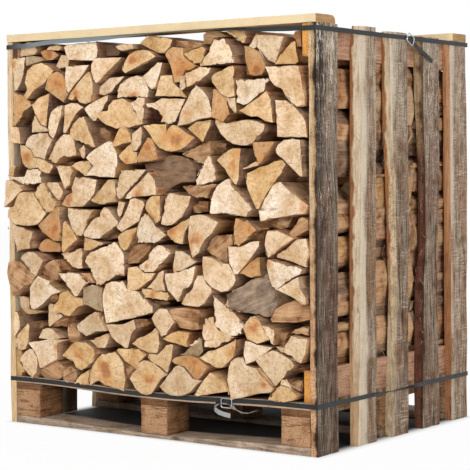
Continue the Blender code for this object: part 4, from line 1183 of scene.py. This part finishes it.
def slab_board_material(name, low, high, look):
    """A slab board: weathered grey over brown, pale sapwood at one side, saw marks, and fibres that peel."""
    face, brown, dark, pale, edge_inner, edge_outer, edge_low, low_top = look[:8]
    sapwood, bark, peel, saw, arris_dark = look[8:]
    material, tree, place = new_material(name)
    axes = add_node(tree, "SeparateXYZ", {0: place}).outputs
    # grey and brown patches 40 mm wide and 200 mm long, blotches 40 mm across, grit 4 mm across
    patches = streaks(tree, place, (26, 26, 5), 5.0)
    blotches = add_node(tree, "TexNoise", {"Vector": place, "Scale": 24.0, "Detail": 5.0}).outputs[0]
    grit = add_node(tree, "TexNoise", {"Vector": place, "Scale": 240.0, "Detail": 3.0}).outputs[0]
    # grain 4 mm wide that runs down the board
    grain = streaks(tree, place, (210, 230, 13), 6.0, 0.72)
    face_share = add_node(tree, "MapRange", {0: patches, 1: 0.44, 2: 0.58}).outputs[0]
    two_tone = add_node(tree, "Mix", {0: face_share, 6: face, 7: brown}, data_type="RGBA").outputs[2]
    # the upper part, out of the wet, stays paler
    upper = stained(tree, two_tone, axes[Z], 0.45, 1.05, 0.30, pale)
    # sapwood along one edge and bark along it too, with a ragged border
    across = add_node(tree, "MapRange", {0: axes[Y], 1: low.y, 2: high.y}).outputs[0]
    wavering = add_node(tree, "Math", {0: patches, 1: 0.8, 2: across}, operation="MULTIPLY_ADD").outputs[0]
    ragged = add_node(tree, "Math", {0: grain, 1: 0.5, 2: wavering}, operation="MULTIPLY_ADD").outputs[0]
    sap_range = {0: ragged, 1: sapwood + 0.74, 2: sapwood + 0.56, 3: 0.0, 4: 0.9 if sapwood else 0.0}
    sap_share = add_node(tree, "MapRange", sap_range).outputs[0]
    sapped = add_node(tree, "Mix", {0: sap_share, 6: upper, 7: pale}, data_type="RGBA").outputs[2]
    up_high = add_node(tree, "MapRange", {0: axes[Z], 1: 0.45, 2: 0.85, 3: 0.35, 4: 1.0}).outputs[0]
    barked = 0.8 if bark else 0.0
    wood = stained(tree, sapped, ragged, bark + 0.80, bark + 0.56, barked, dark, held=up_high)
    # dark and light grain lines, the dark ones faint on sapwood and the light ones on the grey patches
    calm = add_node(tree, "MapRange", {0: sap_share, 3: 1.0, 4: 0.15}).outputs[0]
    darker = stained(tree, wood, grain, 0.52, 0.38, 0.9, dark, held=calm)
    grey_part = add_node(tree, "MapRange", {0: patches, 1: 0.62, 2: 0.40}).outputs[0]
    lighter = stained(tree, darker, grain, 0.54, 0.68, 0.8, pale, held=grey_part)
    # bark fibres peel in strips 3 mm wide and 40 mm long, in patches, more of them near the top
    strips = add_node(tree, "Mapping", {"Vector": place, "Scale": (90, 250, 36)}).outputs[0]
    torn = {"Vector": strips, "Scale": 1.0, "Detail": 7.0, "Roughness": 0.65, "Distortion": 1.2}
    peeling = add_node(tree, "TexNoise", torn).outputs[0]
    height = add_node(tree, "MapRange", {0: axes[Z], 1: 0.45, 2: 1.05, 3: -0.09, 4: 0.045}).outputs[0]
    patchy = add_node(tree, "Math", {0: patches, 1: 0.35, 2: height}, operation="MULTIPLY_ADD").outputs[0]
    lifted = add_node(tree, "Math", {0: peeling, 1: patchy}, operation="ADD").outputs[0]
    peeled = stained(tree, lighter, lifted, 0.74, 0.80, peel, "D3C7B4")
    # the mill's blade leaves dark marks straight across, 3 to 10 mm apart, clear only in places, with painted
    # glints in pale lines beside them
    sawn = streaks(tree, place, (10, 22, 250), 3.0)
    on_face = add_node(tree, "MapRange", {0: sap_share, 3: saw, 4: saw * 0.3}).outputs[0]
    clear = add_node(tree, "MapRange", {0: blotches, 1: 0.56, 2: 0.42}).outputs[0]
    in_places = add_node(tree, "Math", {0: clear, 1: on_face}, operation="MULTIPLY").outputs[0]
    marked = stained(tree, peeled, sawn, 0.50, 0.64, 1.0, (0.42, 0.38, 0.34), held=in_places)
    # painted glints: pale lines along the saw marks
    board = stained(tree, marked, sawn, 0.45, 0.34, 1.0, pale, held=in_places)
    # the edges that were next to the bark: one tone at the inside, one outside, and another low down
    outward = add_node(tree, "Math", {0: axes[X]}, operation="ABSOLUTE").outputs[0]
    inner_x, outer_x = sorted((abs(low.x), abs(high.x)))
    depth = add_node(tree, "MapRange", {0: outward, 1: inner_x, 2: outer_x}).outputs[0]
    wavy = add_node(tree, "Math", {0: blotches, 1: 1.2, 2: depth}, operation="MULTIPLY_ADD").outputs[0]
    outer_share = add_node(tree, "MapRange", {0: wavy, 1: 0.85, 2: 1.05}).outputs[0]
    edge_tones = {0: outer_share, 6: edge_inner, 7: edge_outer}
    upper_edge = add_node(tree, "Mix", edge_tones, data_type="RGBA").outputs[2]
    level = add_node(tree, "MapRange", {0: axes[Z], 1: low.z, 2: high.z}).outputs[0]
    low_wavy = add_node(tree, "Math", {0: patches, 1: 0.6, 2: level}, operation="MULTIPLY_ADD").outputs[0]
    edge_tone = stained(tree, upper_edge, low_wavy, low_top + 0.40, low_top + 0.20, 1.0, edge_low)
    edge_wood = stained(tree, edge_tone, grain, 0.52, 0.38, 0.7, (0.45, 0.34, 0.25))
    edged = stained(tree, edge_wood, wavy, 1.15, 1.45, arris_dark, dark)
    whole = stained(tree, board, facing(tree, Y), 0.35, 0.6, 1.0, edged)
    # dirt in blotches and grit, less of it on the sapwood
    soiling = add_node(tree, "MapRange", {0: sap_share, 3: 0.85, 4: 0.2}).outputs[0]
    blotchy = stained(tree, whole, blotches, 0.52, 0.68, 1.0, (0.58, 0.47, 0.38), held=soiling)
    gritty = stained(tree, blotchy, grit, 0.50, 0.66, 1.0, (0.48, 0.42, 0.36), held=soiling)
    relief = add_node(tree, "Math", {0: lifted, 1: 0.7, 2: grain}, operation="MULTIPLY_ADD").outputs[0]
    finish_surface(tree, gritty, 0.88, 0.18, relief, 0.8, 2 * MM)
    return material


# the colour of each side rail's sawn ends; the dark brown of the left top rail's ends is painted shade
RAIL_ENDS = {
    ("right", "top"): "D99A4C", ("right", "bottom"): "D99A4C",
    ("left", "top"): "6A4A36", ("left", "bottom"): "CDA76C",
}
# the front slat on the left is a cleaner board than its twin on the right
LEFT_FRONT_LOOK = (
    "A8937C", "96785C", "4A3A2E", "DCCBB0", "DEBE94", "E4CBA8", "DDBD90", 0.45, 0.30, 0.00, 0.15, 0.30, 0.05,
)
for number, right_look in enumerate(SLAT_LOOKS, start=1):
    for side in ("right", "left"):
        node = f"slat_{side}_{number}"
        look = LEFT_FRONT_LOOK if node == "slat_left_1" else right_look
        slat_wood = slab_board_material(f"weathered slab board {side} {number}", *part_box(node), look)
        rough_boards(f"{node}_sawn", [node], slat_wood, Z, 2.4 * MM, 14 * MM, 14 * MM)


def edge_slivers(number, count, low_end, high_end):
    """Torn fibres along the front edge of a slat and of its twin across the load, as one piece each."""
    for side in ("right", "left"):
        node = f"slat_{side}_{number}"
        low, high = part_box(node)
        chance = random.Random(f"{node} slivers")
        whole = bmesh.new()
        for _ in range(count):
            level = low_end + (high_end - low_end) * chance.random()
            edge_x = chance.choice((low.x, high.x)) + chance.uniform(-3, 3) * MM
            spot = (edge_x, low.y + chance.uniform(3, 9) * MM, low.z + (high.z - low.z) * level)
            aim = Vector((chance.gauss(0, 0.35), chance.gauss(-0.3, 0.4), chance.choice((-1, 1))))
            length = chance.uniform(7, 24) * MM
            add_sliver(whole, spot, aim, length, chance.uniform(0.4, 1.3) * MM)
        piece = add_object(f"{node}_slivers", whole, sliver_wood)
        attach(piece, "root")


sliver_wood = sawn_board_material(
    "torn spruce fibres", "AF9474", "6E5238", "D2BFA2", "A07E58", Z, soiling=0.7,
)
edge_slivers(2, 40, 0.25, 0.75)
edge_slivers(3, 90, 0.10, 0.75)
edge_slivers(4, 40, 0.15, 0.80)
for (side, level), end_colour in RAIL_ENDS.items():
    node = f"side_rail_{side}_{level}"
    rail_wood = sawn_board_material(
        f"rail spruce {side} {level}", "BC9277", "8A6248", "D6B294", end_colour, Y, soiling=0.6, cracked=0.1,
    )
    rough_boards(f"{node}_sawn", [node], rail_wood, Y, 1.0 * MM)

# ---- Top rails --------------------------------------------------------------------------------------
# Two newer, yellower softwood boards, sawn on all sides, that lie flat across the tops of the slats and
# are nailed down to close the frame.

new_rail_wood = sawn_board_material(
    "fresh-sawn spruce", "CFBE98", "C3A275", "ECD9B2", "A98258", X, edge=("E6D2AC", "D4B98F"), soiling=0.15,
)
for side in ("front", "back"):
    rough_boards(f"top_rail_{side}_sawn", [f"top_rail_{side}"], new_rail_wood, X, 0.9 * MM)

# ---- Bands and buckles -------------------------------------------------------------------------------
# Black polypropylene strapping, 12 mm wide and embossed, pulled tight round the crate and locked
# by a galvanised wire buckle on each band.


def strapping():
    """Embossed polypropylene: a fine raised lattice that gives a broken, silky shine, and a painted sheen on
    the front of the upper band.
    """
    material, tree, place = new_material("embossed polypropylene strapping")
    # the real lattice is 1.5 mm; it is drawn 4 mm wide so that it shows
    cells = {"Vector": place, "Scale": 250.0}
    lattice = add_node(tree, "TexVoronoi", cells, feature="DISTANCE_TO_EDGE").outputs[0]
    dust = add_node(tree, "TexNoise", {"Vector": place, "Scale": 22.0, "Detail": 4.0}).outputs[0]
    axes = add_node(tree, "SeparateXYZ", {0: place}).outputs
    clean = add_node(tree, "Mix", {0: dust, 6: "0F1212", 7: "2A2F2E"}, data_type="RGBA").outputs[2]
    # a painted sheen: the front of the upper band is painted pale grey, up to where it dips under the rail
    painted_sheen_share = 0.8
    for axis, start, full in ((X, -0.52, -0.42), (X, 0.15, 0.02), (Z, 0.600, 0.601), (Y, -0.380, -0.381)):
        within = add_node(tree, "MapRange", {0: axes[axis], 1: start, 2: full}).outputs[0]
        painted_sheen_share = add_node(tree, "Math", {0: within, 1: painted_sheen_share}, operation="MULTIPLY").outputs[0]
    sheen_painted = add_node(tree, "Mix", {0: painted_sheen_share, 6: clean, 7: "80888A"}, data_type="RGBA").outputs[2]
    # the loose ends of the lower band, low down at the right, are paler
    beside = add_node(tree, "Math", {0: axes[X], 1: 0.21}, operation="GREATER_THAN").outputs[0]
    paler_below = stained(tree, sheen_painted, axes[Z], 0.1130, 0.1100, 0.8, "A6A6A3", held=beside)
    finish_surface(tree, paler_below, 0.42, 0.3, lattice, 0.35, 0.6 * MM)
    return material


def galvanised_wire():
    """Bright zinc on steel wire, faintly frosted."""
    material, tree, place = new_material("galvanised steel wire")
    surface = tree.nodes["Principled BSDF"]
    frost = add_node(tree, "TexNoise", {"Vector": place, "Scale": 400.0, "Detail": 3.0}).outputs[0]
    tone = add_node(tree, "Mix", {0: frost, 6: "9FA3A6", 7: "D5D8DA"}, data_type="RGBA").outputs[2]
    tree.links.new(tone, surface.inputs["Base Color"])
    surface.inputs["Metallic"].default_value = 1.0
    surface.inputs["Roughness"].default_value = 0.34
    return material


strap_plastic, wire_steel = strapping(), galvanised_wire()
for node, material in (
    ("strap_bottom", strap_plastic), ("buckle_top", wire_steel), ("buckle_bottom", wire_steel),
):
    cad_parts[node].data.materials.clear()
    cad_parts[node].data.materials.append(material)

# Across the front the upper band slips up against the underside of the top rail, where it rolls over
# until it lies flat, and comes down again to the right-hand corner.
RAIL_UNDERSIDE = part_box("top_rail_front")[0].z
BAND_MIDDLE = BAND_BASE + BAND_WIDTH / 2
BAND_BACK = FRONT_PLANE + 4 * MM
RUN_END = 0.50
CUTS = 40
band_builder = bmesh.new()
band_builder.from_mesh(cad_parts["strap_top"].data)
bmesh.ops.remove_doubles(band_builder, verts=band_builder.verts, dist=0.02 * MM)
for cut in range(CUTS + 1):
    front_run = [face for face in band_builder.faces if face.calc_center_median().y < BAND_BACK]
    near = {edge for face in front_run for edge in face.edges}
    corners = {vert for face in front_run for vert in face.verts}
    bmesh.ops.bisect_plane(
        band_builder, geom=front_run + list(near) + list(corners), dist=0.05 * MM,
        plane_co=(-RUN_END + 2 * RUN_END * cut / CUTS, 0, 0), plane_no=(1, 0, 0),
    )


def eased(value):
    """From 0 to 1, slow at both ends."""
    value = max(0.0, min(1.0, value))
    return value * value * (3 - 2 * value)


run_depth = [vert.co.y for vert in band_builder.verts if vert.co.y < FRONT_PLANE + 1 * MM]
run_middle = (min(run_depth) + max(run_depth)) / 2
for vert in band_builder.verts:
    if vert.co.y > BAND_BACK or abs(vert.co.x) > RUN_END + 1 * MM:
        continue
    share = (vert.co.x + RUN_END) / (2 * RUN_END)
    roll = math.radians(86) * eased((share - 0.22) / 0.34) * eased((1.0 - share) / 0.34)
    pressed = RAIL_UNDERSIDE - 1 * MM - BAND_WIDTH / 2 * math.cos(roll)
    level = BAND_MIDDLE + (pressed - BAND_MIDDLE) * eased(share / 0.18) * eased((1.0 - share) / 0.30)
    up, out = vert.co.z - BAND_MIDDLE, vert.co.y - run_middle
    vert.co.z = level + up * math.cos(roll) - out * math.sin(roll)
    vert.co.y = run_middle + out * math.cos(roll) + up * math.sin(roll)
slipped_band = add_object("strap_top_slipped", band_builder, strap_plastic)
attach(slipped_band, "root")
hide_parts("strap_top")

# ---- Floor, backdrop and light ------------------------------------------------------------------------
# A white floor, painted dark under the pallet as a painted shadow, under a white backdrop, a large soft
# key lamp high in front of the load, a weaker one at its right and one behind it.


def seen_directly(tree):
    """1 for the rays that should see the white backdrop itself, and 0 for the light that it gives."""
    rays = add_node(tree, "LightPath").outputs
    direct = rays["Is Camera Ray"]
    for kind in ("Is Glossy Ray", "Is Transmission Ray"):
        direct = add_node(tree, "Math", {0: direct, 1: rays[kind]}, operation="MAXIMUM").outputs[0]
    return direct


floor_builder = bmesh.new()
bmesh.ops.create_grid(floor_builder, x_segments=1, y_segments=1, size=12.0)
floor_paint, floor_tree, floor_place = new_material("white studio floor with painted shadow")
# the glow that whitens the floor stops at the pallet's outline, and under it the floor is painted dark
# grey: a painted shadow under the pallet
floor_axes = add_node(floor_tree, "SeparateXYZ", {0: floor_place}).outputs
outside_painted_shadow = 0.0
for axis, shaded, lit in ((X, 0.49, 0.56), (Y, 0.36, 0.43)):
    away = add_node(floor_tree, "Math", {0: floor_axes[axis]}, operation="ABSOLUTE").outputs[0]
    edge_range = {0: away, 1: shaded, 2: lit}
    past = add_node(floor_tree, "MapRange", edge_range, interpolation_type="SMOOTHSTEP").outputs[0]
    outside_painted_shadow = add_node(floor_tree, "Math", {0: past, 1: outside_painted_shadow}, operation="MAXIMUM").outputs[0]
floor_tone = add_node(floor_tree, "Mix", {0: outside_painted_shadow, 6: "2A2724", 7: "F4F3F1"}, data_type="RGBA").outputs[2]
floor_surface = floor_tree.nodes["Principled BSDF"]
floor_tree.links.new(floor_tone, floor_surface.inputs["Base Color"])
floor_surface.inputs["Roughness"].default_value = 0.9
glow = add_node(floor_tree, "Emission", {"Color": "FFFFFF", "Strength": 1.0}).outputs[0]
open_glow = add_node(floor_tree, "Math", {0: outside_painted_shadow, 1: 0.95}, operation="MULTIPLY").outputs[0]
glow_part = {0: seen_directly(floor_tree), 1: open_glow}
glow_share = add_node(floor_tree, "Math", glow_part, operation="MULTIPLY").outputs[0]
floor_parts = {0: glow_share, 1: floor_surface.outputs[0], 2: glow}
floor_mix = add_node(floor_tree, "MixShader", floor_parts).outputs[0]
floor_tree.links.new(floor_mix, floor_tree.nodes["Material Output"].inputs["Surface"])
floor = add_object("floor", floor_builder, floor_paint)
floor.location.z = -0.2 * MM

world = bpy.data.worlds.new("studio")
bpy.context.scene.world = world
world.use_nodes = True
world_tree = world.node_tree
world_light = world_tree.nodes["Background"]
world_light.inputs["Color"].default_value = linear("F3F4F6")
world_light.inputs["Strength"].default_value = 0.55
backdrop = add_node(world_tree, "Background", {"Color": "FFFFFF", "Strength": 1.0}).outputs[0]
world_parts = {0: seen_directly(world_tree), 1: world_light.outputs[0], 2: backdrop}
world_mix = add_node(world_tree, "MixShader", world_parts).outputs[0]
world_tree.links.new(world_mix, world_tree.nodes["World Output"].inputs["Surface"])


def soft_lamp(name, place, aim, size, power):
    """A square soft box at place, turned to aim."""
    data = bpy.data.lights.new(name, "AREA")
    data.shape = "SQUARE"
    data.size = size
    data.energy = power
    lamp = bpy.data.objects.new(name, data)
    lamp.location = place
    lamp.rotation_euler = (Vector(aim) - Vector(place)).to_track_quat("-Z", "Y").to_euler()
    bpy.context.scene.collection.objects.link(lamp)


soft_lamp("key", (0.9, -5.6, 3.0), (0, 0, 0.65), 2.6, 176)
soft_lamp("fill", (5.2, -2.4, 1.9), (0, 0, 0.5), 3.0, 120)
soft_lamp("back", (-3.6, 4.6, 3.0), (0, 0, 0.5), 3.0, 110)
bpy.context.scene.view_settings.view_transform = "Standard"
